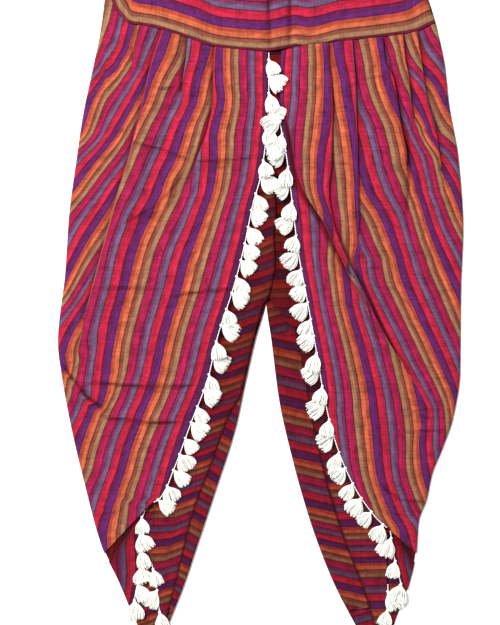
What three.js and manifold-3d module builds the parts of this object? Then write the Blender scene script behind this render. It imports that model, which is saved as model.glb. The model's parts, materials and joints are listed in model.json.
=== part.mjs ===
import * as THREE from 'three';
import Module from 'manifold-3d';

const wasm = await Module();
wasm.setup();

// A pair of tulip pants lies flat with its front up. All sizes are millimetres.
// "down" is measured along the garment from the waist edge, "x" across it from the middle,
// "out" from the middle toward the outside of either leg, and "z" up from the surface below.
const garmentLength = 977;
const cloth = 1.2;
const seamGap = 0.3;

// Heights of the middle of each layer.
const backHeight = cloth / 2;
const innerHeight = 3.2;
const overlapHeight = 6.2;
const sideHeight = 4.2;
const tipHeight = 3.6;
const pleatStep = 3.8;

// Waistband: elastic casing, gathered.
const waistLeft = -192;
const waistRight = 202;
const casingDepth = 32;
const casingWall = 2.4;
const gatherCount = 20;
const gatherRise = 1.1;

// Spacing of the sections along the garment and of the points across it.
const sectionSpacing = 29;
const acrossSpacing = 30;
const seamSpacing = 12;

// Centre seams and the fork between the legs.
const seatSeam = 8;
const forkDown = 508;
const yokeBackEnd = 150;
const curlRun = 45;
const curlRadius = (innerHeight - backHeight) / 2;

// Tape and tassels along the curved edges.
const tapeWidth = 1.8;
const tapeHeight = 1.3;
const tasselPitch = 23.5;
const tasselLength = 23;
const tasselFan = 0.36;
const leastLean = 0.16;
const locksPerTassel = 3;
const lockRootPitch = 1.4;
const lockRootWidth = 1;
const lockEndWidth = 6.2;
const lockRootHeight = 1.1;
const lockEndHeight = 3;
const tasselClearance = 0.9;

const columns = (names, rows) =>
  rows.map((row) => Object.fromEntries(names.map((name, i) => [name, row[i]])));

// The seam between yoke and legs runs up at both sides.
const yokeSeam = columns(['x', 'down'], [
  [-209, 76], [-206, 89], [-201, 100], [-196, 112], [-186, 124], [-178, 131], [-148, 136],
  [-98, 151], [-61, 163], [-14, 168], [10, 169], [28, 167], [53, 162], [87, 158],
  [124, 154], [169, 149], [207, 143], [237, 130],
]);
const yokeTuck = { topFrom: 11, topTo: 38, bottomFrom: 15, bottomTo: 36, rise: 1.8 };

const legs = {
  left: {
    side: -1,
    outline: columns(['down', 'out'], [
      [76, 209], [100, 211], [139, 216], [193, 227], [255, 240], [316, 249], [392, 259],
      [467, 264], [563, 274], [606, 269], [672, 257], [753, 238], [840, 214], [886, 192],
      [929, 174], [959, 162], [977, 152],
    ]),
    innerOutline: columns(['down', 'out'], [
      [508, -7.8], [548, 4], [616, 20], [676, 33], [764, 61], [833, 84], [898, 106],
      [941, 124], [962, 134], [977, 144],
    ]),
    trimmedEdge: columns(['down', 'out'], [
      [169, -10], [235, -10], [289, -6], [338, 1], [374, 11], [436, 24], [486, 37],
      [554, 59], [610, 72], [668, 94], [730, 117], [771, 136], [779, 149],
    ]),
    frontEdge: columns(['down', 'out'], [
      [169, -6.3], [340, -6.3], [367, -20], [392, -21], [416, -18], [451, -20], [494, -13], [510, -6],
      [521, -3], [620, 20], [662, 43], [722, 65], [791, 91], [887, 115], [936, 128],
    ]),
    ventEdge: columns(['down', 'out'], [
      [169, 52], [235, 52], [370, 60], [437, 75], [505, 88], [572, 106], [640, 119],
      [694, 129], [734, 136], [775, 144], [815, 149], [842, 151], [864, 145], [887, 140],
      [919, 136], [936, 134],
    ]),
    edgeHeight: columns(['down', 'z'], [
      [169, 6], [235, 11], [374, 13], [505, 12], [640, 10], [779, 9],
    ]),
    innerEnd: 933,
    trimStart: 172,
    ventRoom: 8.5,
    ventTrimStart: 860,
    pleats: [
      { depth: 24, path: columns(['down', 'out'], [[163, 61], [251, 64], [273, 72], [316, 82]]) },
      { depth: 12, path: columns(['down', 'out'], [[151, 99], [208, 103], [235, 106]]) },
      {
        depth: 13,
        path: columns(['down', 'out'], [
          [140, 132], [186, 148], [293, 171], [400, 202], [489, 227], [545, 240], [590, 250],
        ]),
      },
      { depth: 7, path: columns(['down', 'out'], [[134, 165], [165, 171], [192, 175]]) },
    ],
    // Each row of the table is a line of the cloth from the trimmed edge to the outline.
    lines: columns(['edge', 'outline', 'follow', 'steps'], [
      [169, 76, 1, 5], [240, 215, 0.25, 4], [316, 306, 0, 10], [600, 600, 0, 5],
      [730, 735, 0, 2], [771, 800, 0, 1], [779, 846, 0, 0],
    ]),
    tip: {
      under: 9,
      edge: columns(['down', 'out'], [
        [768, 153], [791, 158], [807, 165], [855, 163], [907, 171], [924, 173],
      ]),
      lines: columns(['edge', 'outline'], [
        [790, 856], [815, 868], [845, 884], [875, 899], [900, 911], [918, 920],
      ]),
    },
    ridges: [
      { rise: 2.6, reach: 14, path: columns(['x', 'down'], [
        [-138, 370], [-157, 392], [-182, 409], [-196, 414],
      ]) },
      { rise: 2.2, reach: 12, path: columns(['x', 'down'], [
        [-266, 602], [-252, 624], [-233, 640], [-203, 661], [-113, 667],
      ]) },
      { rise: 1.8, reach: 12, path: columns(['x', 'down'], [
        [-132, 302], [-102, 310], [-87, 318], [-21, 318],
      ]) },
      { rise: 2, reach: 20, path: columns(['x', 'down'], [
        [-30, 250], [-38, 420], [-80, 600], [-118, 700],
      ]) },
    ],
  },
  right: {
    side: 1,
    outline: columns(['down', 'out'], [
      [130, 237], [186, 249], [240, 255], [316, 268], [409, 274], [494, 271], [602, 270],
      [662, 261], [706, 246], [741, 232], [774, 225], [805, 214], [846, 211], [898, 199],
      [930, 187], [957, 177], [977, 167],
    ]),
    innerOutline: columns(['down', 'out'], [
      [508, 8.2], [571, 16], [640, 25], [716, 42], [807, 68], [890, 100], [944, 129],
      [963, 142], [977, 156],
    ]),
    trimmedEdge: columns(['down', 'out'], [
      [167, 28], [209, 26], [255, 27], [317, 37], [374, 44], [440, 52], [504, 64],
      [571, 76], [640, 88], [695, 102], [753, 126], [799, 158], [814, 175],
    ]),
    frontEdge: columns(['down', 'out'], [
      [169, 7], [370, 9], [470, 10], [500, 12], [525, 30], [552, 48], [585, 57],
      [662, 70], [748, 89], [825, 113], [911, 145], [964, 159],
    ]),
    ventEdge: columns(['down', 'out'], [
      [169, 74], [302, 83], [437, 91], [505, 94], [586, 107], [667, 124], [707, 132],
      [748, 145], [775, 159], [802, 167], [836, 171], [871, 171], [941, 170], [971, 168],
    ]),
    edgeHeight: columns(['down', 'z'], [
      [167, 6], [235, 10], [374, 12], [505, 11], [640, 10], [814, 9],
    ]),
    innerEnd: 956,
    trimStart: 250,
    ventRoom: 7.5,
    ventTrimStart: 890,
    pleats: [
      { depth: 18, path: columns(['down', 'out'], [[161, 92], [248, 97], [316, 95], [356, 92]]) },
      { depth: 12, path: columns(['down', 'out'], [[154, 126], [316, 129], [470, 134]]) },
      {
        depth: 14,
        path: columns(['down', 'out'], [[150, 167], [198, 169], [220, 186], [293, 199], [405, 197]]),
      },
      { depth: 6, path: columns(['down', 'out'], [[147, 188], [181, 195], [228, 211]]) },
      { depth: 6, path: columns(['down', 'out'], [[144, 213], [205, 222], [301, 244], [396, 257]]) },
    ],
    lines: columns(['edge', 'outline', 'follow', 'steps'], [
      [167, 130, 1, 4], [235, 228, 0.2, 4], [316, 316, 0, 5], [405, 405, 0, 8],
      [640, 640, 0, 5], [760, 766, 0, 2], [799, 815, 0, 1], [814, 846, 0, 0],
    ]),
    tip: {
      under: 9,
      edge: columns(['down', 'out'], [
        [805, 176], [818, 177], [842, 180], [868, 186], [894, 192], [906, 193],
      ]),
      lines: columns(['edge', 'outline'], [
        [818, 856], [836, 866], [856, 878], [876, 888], [895, 897],
      ]),
    },
    ridges: [
      {
        rise: 6,
        reach: 15,
        path: columns(['x', 'down'], [
          [36, 242], [44, 284], [55, 343], [72, 379], [94, 404], [119, 456], [137, 489],
          [169, 555], [210, 617], [221, 634],
        ]),
      },
      { rise: 3, reach: 13, path: columns(['x', 'down'], [[172, 759], [191, 772], [221, 778]]) },
      { rise: 3, reach: 14, path: columns(['x', 'down'], [
        [205, 405], [214, 440], [236, 520], [240, 600],
      ]) },
      { rise: 1.8, reach: 12, path: columns(['x', 'down'], [[195, 680], [230, 676], [258, 680]]) },
    ],
  },
};

const clamp = (value, low = 0, high = 1) => Math.min(high, Math.max(low, value));
const mix = (from, to, share) => from + (to - from) * share;
const ease = (share) => clamp(share) ** 2 * (3 - 2 * clamp(share));

// A smooth curve through the rows of a table that never swings past them.
function at(table, key, value, by = 'down') {
  const last = table.length - 1;
  if (value <= table[0][by]) return table[0][key];
  if (value >= table[last][by]) return table[last][key];
  let i = 0;
  while (table[i + 1][by] < value) i += 1;
  const secant = (j) => (table[j + 1][key] - table[j][key]) / (table[j + 1][by] - table[j][by]);
  const slope = (j) => {
    if (j === 0) return secant(0);
    if (j === last) return secant(last - 1);
    const before = secant(j - 1);
    const after = secant(j);
    return before * after <= 0 ? 0 : (2 * before * after) / (before + after);
  };
  const run = table[i + 1][by] - table[i][by];
  const s = (value - table[i][by]) / run;
  const rise = table[i + 1][key] - table[i][key];
  const start = slope(i) * run;
  const end = slope(i + 1) * run;
  return table[i][key] + s * start + s * s * (3 * rise - 2 * start - end)
    + s ** 3 * (start + end - 2 * rise);
}

const place = (side, out, down, z, t) => ({ x: side * out, y: garmentLength / 2 - down, z, t });

// How far a soft ridge lifts the cloth at one place.
function ridgeLift(ridges, x, down) {
  let lift = 0;
  for (const { rise, reach, path } of ridges) {
    let nearest = Infinity;
    for (let i = 0; i < path.length - 1; i += 1) {
      const from = new THREE.Vector2(path[i].x, path[i].down);
      const run = new THREE.Vector2(path[i + 1].x, path[i + 1].down).sub(from);
      const here = new THREE.Vector2(x, down);
      const share = clamp(here.clone().sub(from).dot(run) / run.lengthSq());
      nearest = Math.min(nearest, from.addScaledVector(run, share).distanceTo(here));
    }
    lift = Math.max(lift, rise * ease(1 - nearest / (1.6 * reach)));
  }
  return lift;
}

// Joins two neighbouring rows of points with triangles, keeping points of like "t" together.
function joinRows(a, b, firstA, firstB, faces) {
  let i = 0;
  let j = 0;
  while (i < a.length - 1 || j < b.length - 1) {
    const nextA = i < a.length - 1 ? a[i + 1].t : Infinity;
    const nextB = j < b.length - 1 ? b[j + 1].t : Infinity;
    if (nextA <= nextB) {
      faces.push([firstA + i, firstA + i + 1, firstB + j]);
      i += 1;
    } else {
      faces.push([firstA + i, firstB + j + 1, firstB + j]);
      j += 1;
    }
  }
}

// A closed wall of cloth, half its thickness to each side of the rows of points, nowhere under "lowest".
function wall(rows, thickness, lowest) {
  const points = rows.flat().map((p) => new THREE.Vector3(p.x, p.y, p.z));
  const faces = [];
  let first = 0;
  for (let r = 0; r < rows.length - 1; r += 1) {
    joinRows(rows[r], rows[r + 1], first, first + rows[r].length, faces);
    first += rows[r].length;
  }
  const sums = points.map(() => new THREE.Vector3());
  const normals = faces.map((face) => {
    const corners = face.map((index) => points[index]);
    const normal = corners[1].clone().sub(corners[0]).cross(corners[2].clone().sub(corners[0])).normalize();
    face.forEach((index, k) => {
      const one = corners[(k + 1) % 3].clone().sub(corners[k]);
      const two = corners[(k + 2) % 3].clone().sub(corners[k]);
      sums[index].addScaledVector(normal, one.angleTo(two));
    });
    return normal;
  });
  sums.forEach((sum) => sum.normalize());
  const facing = points.map(() => 1);
  faces.forEach((face, f) => face.forEach((index) => {
    facing[index] = Math.min(facing[index], sums[index].dot(normals[f]));
  }));
  const offset = (point, index, way) => {
    const distance = (way * thickness) / 2 / Math.max(facing[index], 0.7);
    const moved = point.clone().addScaledVector(sums[index], distance);
    moved.z = Math.max(moved.z, lowest);
    return moved;
  };
  const over = points.map((point, index) => offset(point, index, 1));
  const under = points.map((point, index) => offset(point, index, -1));
  const count = points.length;
  const triangles = [];
  const open = new Map();
  for (const [a, b, c] of faces) {
    triangles.push([a, b, c], [c + count, b + count, a + count]);
    for (const [from, to] of [[a, b], [b, c], [c, a]]) {
      if (open.has(`${to}_${from}`)) open.delete(`${to}_${from}`);
      else open.set(`${from}_${to}`, [from, to]);
    }
  }
  for (const [from, to] of open.values()) {
    triangles.push([to, from, from + count], [to, from + count, to + count]);
  }
  return solid([...over, ...under], triangles);
}

// Turns points and triangles into a geometry whose faces point out.
function solid(points, triangles) {
  let volume = 0;
  for (const [a, b, c] of triangles) {
    volume += points[a].dot(points[b].clone().cross(points[c]));
  }
  const facing = volume > 0 ? triangles : triangles.map(([a, b, c]) => [a, c, b]);
  const geometry = new THREE.BufferGeometry();
  const positions = points.flatMap((p) => [p.x, p.y, p.z]);
  geometry.setAttribute('position', new THREE.Float32BufferAttribute(positions, 3));
  geometry.setIndex(facing.flat());
  geometry.computeVertexNormals();
  return geometry;
}

// Where cloth at the outline turns down to the panel on the surface.
const rolledEdge = (z) => [
  { inset: 3, z: z - 0.35 },
  { inset: cloth / 2, z: z - 1.4 },
  { inset: cloth / 2, z: cloth + seamGap },
];

const spread = (from, to, steps) =>
  Array.from({ length: steps + 1 }, (_, i) => mix(from, to, i / steps));

// Neighbouring panels share these places for their sections, so their seams run alike.
function sections(from, to) {
  const middle = [];
  for (let down = 0; down < to - 6; down += sectionSpacing) if (down > from + 6) middle.push(down);
  return [from, ...middle, to];
}

// --- petals: the pleated outer front panels ---

const yokeSeamAt = (leg, out) => at(yokeSeam, 'down', leg.side * out, 'x');

// Where a pleat's folded edge lies, and how deep and high the fold is there.
function pleatState(leg, pleat, down) {
  const { path, depth } = pleat;
  const start = path[0].down;
  const end = path[path.length - 1].down;
  const closed = mix(start, end, 0.72);
  const open = clamp((end - down) / (end - closed));
  const edgeOut = at(leg.trimmedEdge, 'out', Math.min(down, end));
  const share = (path[path.length - 1].out - at(leg.trimmedEdge, 'out', end))
    / (at(leg.outline, 'out', end) - at(leg.trimmedEdge, 'out', end));
  const out = down <= end
    ? at(path, 'out', down)
    : mix(at(leg.trimmedEdge, 'out', down), at(leg.outline, 'out', down), share);
  return {
    active: down < end,
    out: Math.max(out, edgeOut + 4),
    depth: depth * clamp((closed - down) / (closed - start)) ** 0.6,
    rise: pleatStep * open,
    soften: 6 * (1 - open),
  };
}

function petalHeight(leg, share, out, down) {
  const low = mix(at(leg.edgeHeight, 'z', down), sideHeight, ease(share * 1.15));
  return low + ridgeLift(leg.ridges, leg.side * out, down) * ease(share / 0.08) * ease((1 - share) / 0.1);
}

// One line of the cloth, from the trimmed edge out to the outline and down to the back panel.
function petalRow(leg, line) {
  const edgeOut = at(leg.trimmedEdge, 'out', line.edge);
  const outlineOut = at(leg.outline, 'out', line.outline);
  const seamLevel = (out) => yokeSeamAt(leg, out) + 2 * seamGap;
  const downAt = (out) => {
    const share = (out - edgeOut) / (outlineOut - edgeOut);
    const straight = mix(line.edge, line.outline, share);
    const seamChord = mix(seamLevel(edgeOut), seamLevel(outlineOut), share);
    return straight + line.follow * (seamLevel(out) - seamChord);
  };
  const shareAt = (out) => (out - edgeOut) / (outlineOut - edgeOut);
  const stations = leg.pleats.map((pleat) => {
    let state = pleatState(leg, pleat, mix(line.edge, line.outline, 0.5));
    for (let i = 0; i < 4; i += 1) state = pleatState(leg, pleat, downAt(state.out));
    return state;
  });
  const marks = [edgeOut, ...stations.map((state) => state.out), outlineOut];
  const tAt = (out) => {
    let i = 0;
    while (i < marks.length - 2 && out > marks[i + 1]) i += 1;
    return i + (out - marks[i]) / (marks[i + 1] - marks[i]);
  };
  const spacing = line.follow > 0.9 ? seamSpacing : acrossSpacing;
  const points = [];
  const put = (out, lift, t) => {
    const down = downAt(out);
    const z = petalHeight(leg, shareAt(out), out, down) + lift;
    points.push(place(leg.side, out, down, z, t));
  };
  put(edgeOut, 0, 0);
  let from = edgeOut;
  stations.forEach((state, index) => {
    if (!state.active) return;
    const t = index + 1;
    const { out, depth, rise, soften } = state;
    const flatFrom = out - depth - soften - 3;
    const steps = Math.max(1, Math.round((flatFrom - from) / spacing));
    spread(from, flatFrom, steps).slice(1).forEach((between, i) => {
      if (between > from + 2) put(between, rise * ((i + 1) / steps) ** 2, tAt(between));
    });
    if (spacing === seamSpacing) put((flatFrom + out) / 2, rise, tAt((flatFrom + out) / 2));
    put(out - soften, rise, t - 0.003);
    put(out - soften / 3, rise / 2, t - 0.001);
    put(out - depth + soften / 3, rise / 2, t + 0.001);
    put(out - depth + soften, 0, t + 0.003);
    if (depth > acrossSpacing / 6) put(out + 1, 0, t + 0.01);
    from = Math.max(out, out - depth + soften);
  });
  const rollFrom = outlineOut - 9;
  const steps = Math.max(1, Math.round((rollFrom - from) / spacing));
  spread(from, rollFrom, steps).slice(1).forEach((out) => put(out, 0, tAt(out)));
  rolledEdge(points[points.length - 1].z).forEach(({ inset, z }, i) => {
    const out = outlineOut - inset;
    points.push(place(leg.side, out, downAt(out), z, marks.length - 1 + i));
  });
  return points;
}

// A line of the tip, which comes out from under the petal and tapers along the ankle.
function tipRow(leg, line, z) {
  const edgeOut = at(leg.tip.edge, 'out', line.edge);
  const outlineOut = at(leg.outline, 'out', line.outline);
  const places = [0, 0.33, 0.66, 1].map((share) => [mix(edgeOut, outlineOut - 5, share), z]);
  rolledEdge(z).forEach((turn) => places.push([outlineOut - turn.inset, turn.z]));
  return places.map(([out, height], i) => {
    const share = (out - edgeOut) / (outlineOut - edgeOut);
    return place(leg.side, out, mix(line.edge, line.outline, share), height, i);
  });
}

function petalRows(leg) {
  const rows = [];
  leg.lines.forEach((line, i) => {
    if (line.steps === 0) {
      rows.push(petalRow(leg, line));
      return;
    }
    for (const share of spread(0, 1, line.steps).slice(0, -1)) {
      const mixed = {};
      for (const key of ['edge', 'outline', 'follow']) {
        mixed[key] = mix(line[key], leg.lines[i + 1][key], share);
      }
      rows.push(petalRow(leg, mixed));
    }
  });
  return rows;
}

const tipRows = (leg) => leg.tip.lines.map((line) => tipRow(leg, line, tipHeight));

// The petal's end folds under itself, and the cloth goes on below as the tip.
function petal(leg) {
  const rows = petalRows(leg);
  const last = leg.lines[leg.lines.length - 1];
  const { under } = leg.tip;
  const foldLine = { edge: last.edge + 1, outline: last.outline + 1 };
  const backLine = { edge: last.edge - under, outline: last.outline - under };
  rows.push(tipRow(leg, foldLine, tipHeight + pleatStep / 2));
  rows.push(tipRow(leg, backLine, tipHeight + pleatStep / 2));
  rows.push(tipRow(leg, backLine, tipHeight));
  rows.push(...tipRows(leg));
  return wall(rows, cloth, cloth + seamGap);
}

// --- inner front panels ---

const nearFork = (down) => clamp((forkDown + 30 - down) / 40);

function innerPlace(leg, down, share) {
  const outer = at(leg.ventEdge, 'out', down);
  const curlSide = at(leg.innerOutline, 'out', down) + cloth / 2 + curlRadius + 3 * seamGap;
  const front = at(leg.frontEdge, 'out', down);
  const inner = down < forkDown ? front : Math.max(front, curlSide);
  return mix(outer, inner, share);
}

function innerHeightAt(leg, out, down) {
  const lapped = leg.side < 0 ? ease((24 - out) / 28) * ease(nearFork(down)) * ease((down - 290) / 40) : 0;
  const swell = 0.7 + 0.7 * Math.sin(down / 41 + out / 17);
  const settled = ease((forkDown + 400 - down) / 200);
  return mix(innerHeight, overlapHeight, lapped) + swell * settled * ease((out + 30) / 30) * (1 - lapped);
}

function innerRows(leg) {
  const top = at(yokeSeam, 'down', 0, 'x') + 2 * seamGap;
  return sections(top, leg.innerEnd).map((down) => {
    const places = spread(0, 1, 5).map((share) => innerPlace(leg, down, share));
    const edge = places[places.length - 1];
    return places.map((out, i) => {
      const flat = down > forkDown ? ease((out - edge) / 14) : 1;
      const z = mix(innerHeight, innerHeightAt(leg, out, down), flat);
      return place(leg.side, out, down, z, i);
    });
  });
}

// --- back panels, flat on the surface, curled round to the inseam ---

function backPanel(leg) {
  const top = yokeBackEnd + seamGap;
  const rows = sections(top, garmentLength).map((down) => {
    const outer = at(leg.outline, 'out', down);
    const fromEnds = clamp((down - forkDown) / curlRun) * clamp((garmentLength - 8 - down) / curlRun);
    const turned = Math.PI * fromEnds;
    if (turned === 0) {
      const inner = down < forkDown ? leg.side * seatSeam + seamGap / 2 : at(leg.innerOutline, 'out', down);
      return spread(outer, inner, 2).map((out, i) => place(leg.side, out, down, backHeight, i / 2));
    }
    const centre = at(leg.innerOutline, 'out', down) + cloth / 2 + curlRadius;
    const row = spread(outer, centre, 2).map((out, i) => place(leg.side, out, down, backHeight, i / 2));
    spread(0, turned, 4).slice(1).forEach((angle, i) => {
      const z = backHeight + curlRadius * (1 - Math.cos(angle));
      row.push(place(leg.side, centre - curlRadius * Math.sin(angle), down, z, 1 + (i + 1) / 4));
    });
    const inseam = innerPlace(leg, down, 1) - seamGap;
    if (turned === Math.PI && inseam > centre + 1) {
      row.push(place(leg.side, inseam, down, innerHeight, 3));
    }
    return row;
  });
  return wall(rows, cloth, 0);
}

// --- yoke ---

function yokeHeight(share) {
  return mix(4, 5.6, share);
}

function yokeFront() {
  const { topFrom, topTo, bottomFrom, bottomTo, rise } = yokeTuck;
  const seamLeft = yokeSeam[0].x;
  const seamRight = yokeSeam[yokeSeam.length - 1].x;
  const across = [
    ...[0.6, 0.6, 3, 9, 15, 22, 30].map((inset) => ({ top: waistLeft + inset, bottom: seamLeft + inset })),
    ...spread(0.18, 1, 9).map((share) => ({
      top: mix(waistLeft, topFrom - 2, share),
      bottom: mix(seamLeft, bottomFrom - 2, share),
    })),
    { top: topFrom, bottom: bottomFrom, lift: rise },
    { top: topTo, bottom: bottomTo, lift: rise },
    ...spread(0, 0.92, 8).map((share) => ({
      top: mix(topTo + 2, waistRight, share),
      bottom: mix(bottomTo + 2, seamRight, share),
    })),
    ...[9, 3, 0.6, 0.6].map((inset) => ({ top: waistRight - inset, bottom: seamRight - inset })),
  ];
  const rows = spread(0, 1, 5).map((share) => across.map((column, i) => {
    const x = mix(column.top, column.bottom, share);
    const seamDown = at(yokeSeam, 'down', column.bottom, 'x') - 2 * seamGap;
    const down = mix(casingDepth + seamGap, seamDown, share);
    const full = yokeHeight(share) + (column.lift ?? 0);
    const fromEnd = Math.min(i, across.length - 1 - i);
    const z = [cloth + seamGap, full - 1.4, full - 0.35][fromEnd] ?? full;
    return place(1, x, down, z, i);
  }));
  return wall(rows, cloth, cloth + seamGap);
}

function yokeBack() {
  const sides = columns(['down', 'left', 'right'], [
    [casingDepth + seamGap, waistLeft, waistRight], [76, -209, 218], [100, -211, 228],
    [130, -214, 237], [yokeBackEnd, -218, 241],
  ]);
  const rows = sides.map(({ down, left, right }) =>
    spread(left, right, 3).map((x, i) => place(1, x, down, backHeight, i)));
  return wall(rows, cloth, 0);
}

function waistband(middle) {
  const rows = spread(0, casingDepth, 2).map((down, r) =>
    spread(waistLeft, waistRight, 4 * gatherCount).map((x, i) => {
      const swing = gatherRise * (r === 1 ? 0.55 : 1);
      return place(1, x, down, middle + swing * Math.round(Math.sin((i * Math.PI) / 2)), i);
    }));
  return wall(rows, casingWall, 0);
}

// --- tape and tassels ---

// Places just off a row of edge points, on their inner (-1) or outer (1) side.
function besideEdge(leg, edge, way) {
  const apart = 1.5 * seamGap + tapeWidth / 2;
  return edge.map((point, i) => {
    const before = edge[Math.max(i - 1, 0)];
    const after = edge[Math.min(i + 1, edge.length - 1)];
    const away = new THREE.Vector3(before.y - after.y, after.x - before.x, 0).normalize();
    away.multiplyScalar(Math.sign(away.x) * leg.side * way);
    return { middle: new THREE.Vector3(point.x, point.y, point.z).addScaledVector(away, apart), away };
  });
}

function manifoldOf(points, triangles) {
  const geometry = solid(points, triangles);
  const mesh = new wasm.Mesh({
    numProp: 3,
    vertProperties: new Float32Array(geometry.attributes.position.array),
    triVerts: new Uint32Array(geometry.index.array),
  });
  return new wasm.Manifold(mesh);
}

const ringFaces = (ring, next) => [0, 1, 2, 3].flatMap((k) => {
  const other = (k + 1) % 4;
  return [[ring + k, ring + other, next + other], [ring + k, next + other, next + k]];
});

// A four-sided bar through sections that each give a middle, a half width and a half height.
function bar(sections) {
  const points = sections.flatMap(({ middle, across, width, height }) =>
    [[-1, -1], [1, -1], [1, 1], [-1, 1]].map(([side, rise]) => middle.clone()
      .addScaledVector(across, (side * width) / 2)
      .add(new THREE.Vector3(0, 0, (rise * height) / 2))));
  const triangles = [[0, 2, 1], [0, 3, 2]];
  for (let i = 0; i < sections.length - 1; i += 1) triangles.push(...ringFaces(4 * i, 4 * i + 4));
  const end = 4 * (sections.length - 1);
  triangles.push([end, end + 1, end + 2], [end, end + 2, end + 3]);
  return manifoldOf(points, triangles);
}

// The locks fan out from just off the edge as far as there is room.
function lockAngles(room) {
  const widest = leastLean + (locksPerTassel - 1) * tasselFan;
  const most = Math.min(Math.asin(clamp(room / tasselLength, 0.3, 0.95)), widest);
  return spread(leastLean, most, locksPerTassel - 1);
}

function surfaceUnder(x, down) {
  let top = cloth;
  for (const leg of Object.values(legs)) {
    const out = leg.side * x;
    const inside = out < innerPlace(leg, down, 0) + 3 && out > innerPlace(leg, down, 1) - 3;
    if (inside && down < leg.innerEnd) top = Math.max(top, innerHeightAt(leg, out, down) + cloth / 2);
  }
  return Math.max(top, innerHeight + cloth / 2);
}

function trim(path, roomAt) {
  let joined = bar(path.map(({ middle, away }) => ({
    middle, across: away, width: tapeWidth, height: tapeHeight,
  })));
  let travelled = tasselPitch / 2;
  for (let i = 0; i < path.length - 1; i += 1) {
    const start = path[i].middle;
    const run = start.distanceTo(path[i + 1].middle);
    const along = path[i + 1].middle.clone().sub(start).normalize();
    travelled += run;
    if (travelled < tasselPitch) continue;
    travelled -= tasselPitch;
    const root = start.clone().addScaledVector(along, clamp(run - travelled, 3, run));
    const way = Math.sign(path[i].away.x);
    const angles = lockAngles(roomAt(garmentLength / 2 - root.y));
    const width = Math.min(lockEndWidth, 0.8 * tasselLength * (angles[1] - angles[0]));
    angles.forEach((angle, k) => {
      const direction = new THREE.Vector3(way * Math.sin(angle), -Math.cos(angle), 0);
      const across = new THREE.Vector3(direction.y, -direction.x, 0);
      const lockRoot = root.clone().addScaledVector(along, (1 - k) * lockRootPitch);
      const lockEnd = lockRoot.clone().addScaledVector(direction, tasselLength);
      const floor = surfaceUnder(lockEnd.x, garmentLength / 2 - lockEnd.y);
      lockEnd.z = floor + tasselClearance + lockEndHeight / 2;
      joined = joined.add(bar([
        { middle: lockRoot, across, width: lockRootWidth, height: lockRootHeight },
        { middle: lockEnd, across, width, height: lockEndHeight },
      ]));
    });
  }
  const { vertProperties, triVerts, numProp } = joined.getMesh();
  const geometry = new THREE.BufferGeometry();
  const positions = [];
  for (let i = 0; i < vertProperties.length; i += numProp) {
    positions.push(...vertProperties.slice(i, i + 3));
  }
  geometry.setAttribute('position', new THREE.Float32BufferAttribute(positions, 3));
  geometry.setIndex([...triVerts]);
  geometry.computeVertexNormals();
  return geometry;
}

// Half the space between the two petals, or all of it above the right petal's first tassel.
function middleRoom(down) {
  const gap = at(legs.left.trimmedEdge, 'out', down) + at(legs.right.trimmedEdge, 'out', down);
  return down < 232 ? gap - 6 : (gap - 8) / 2;
}

const firstPoints = (rows, from) =>
  rows.map((row) => row[0]).filter((point) => garmentLength / 2 - point.y >= from);
const petalTrim = (leg) =>
  trim(besideEdge(leg, firstPoints(petalRows(leg), leg.trimStart).slice(0, -1), -1), middleRoom);
const tipTrim = (leg) => trim(besideEdge(leg, firstPoints(tipRows(leg), 0), -1), () => leg.ventRoom);
const ventTrim = (leg) =>
  trim(besideEdge(leg, firstPoints(innerRows(leg), leg.ventTrimStart), 1), () => leg.ventRoom);

// --- the garment ---

const crimson = new THREE.Color(0xb3224f);
const plum = new THREE.Color(0x7a2358);
const ivory = new THREE.Color(0xf0efe2);

const garment = new THREE.Group();

function addPiece(name, geometry, color) {
  const material = new THREE.MeshStandardMaterial({ color, roughness: 0.85, metalness: 0 });
  const mesh = new THREE.Mesh(geometry, material);
  mesh.name = name;
  garment.add(mesh);
}

addPiece('waistband_back', waistband(casingWall / 2 + gatherRise), plum);
addPiece('waistband_front', waistband(casingWall * 1.5 + 3 * gatherRise + seamGap), plum);
addPiece('yoke_back', yokeBack(), crimson);
addPiece('yoke_front', yokeFront(), crimson);
for (const [name, leg] of Object.entries(legs)) {
  addPiece(`back_${name}`, backPanel(leg), plum);
  addPiece(`inner_${name}`, wall(innerRows(leg), cloth, cloth + seamGap), plum);
  addPiece(`petal_${name}`, petal(leg), crimson);
  addPiece(`trim_petal_${name}`, petalTrim(leg), ivory);
  addPiece(`trim_tip_${name}`, tipTrim(leg), ivory);
  addPiece(`trim_vent_${name}`, ventTrim(leg), ivory);
}

export default garment;
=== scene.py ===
import json
import math
from functools import partial

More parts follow.
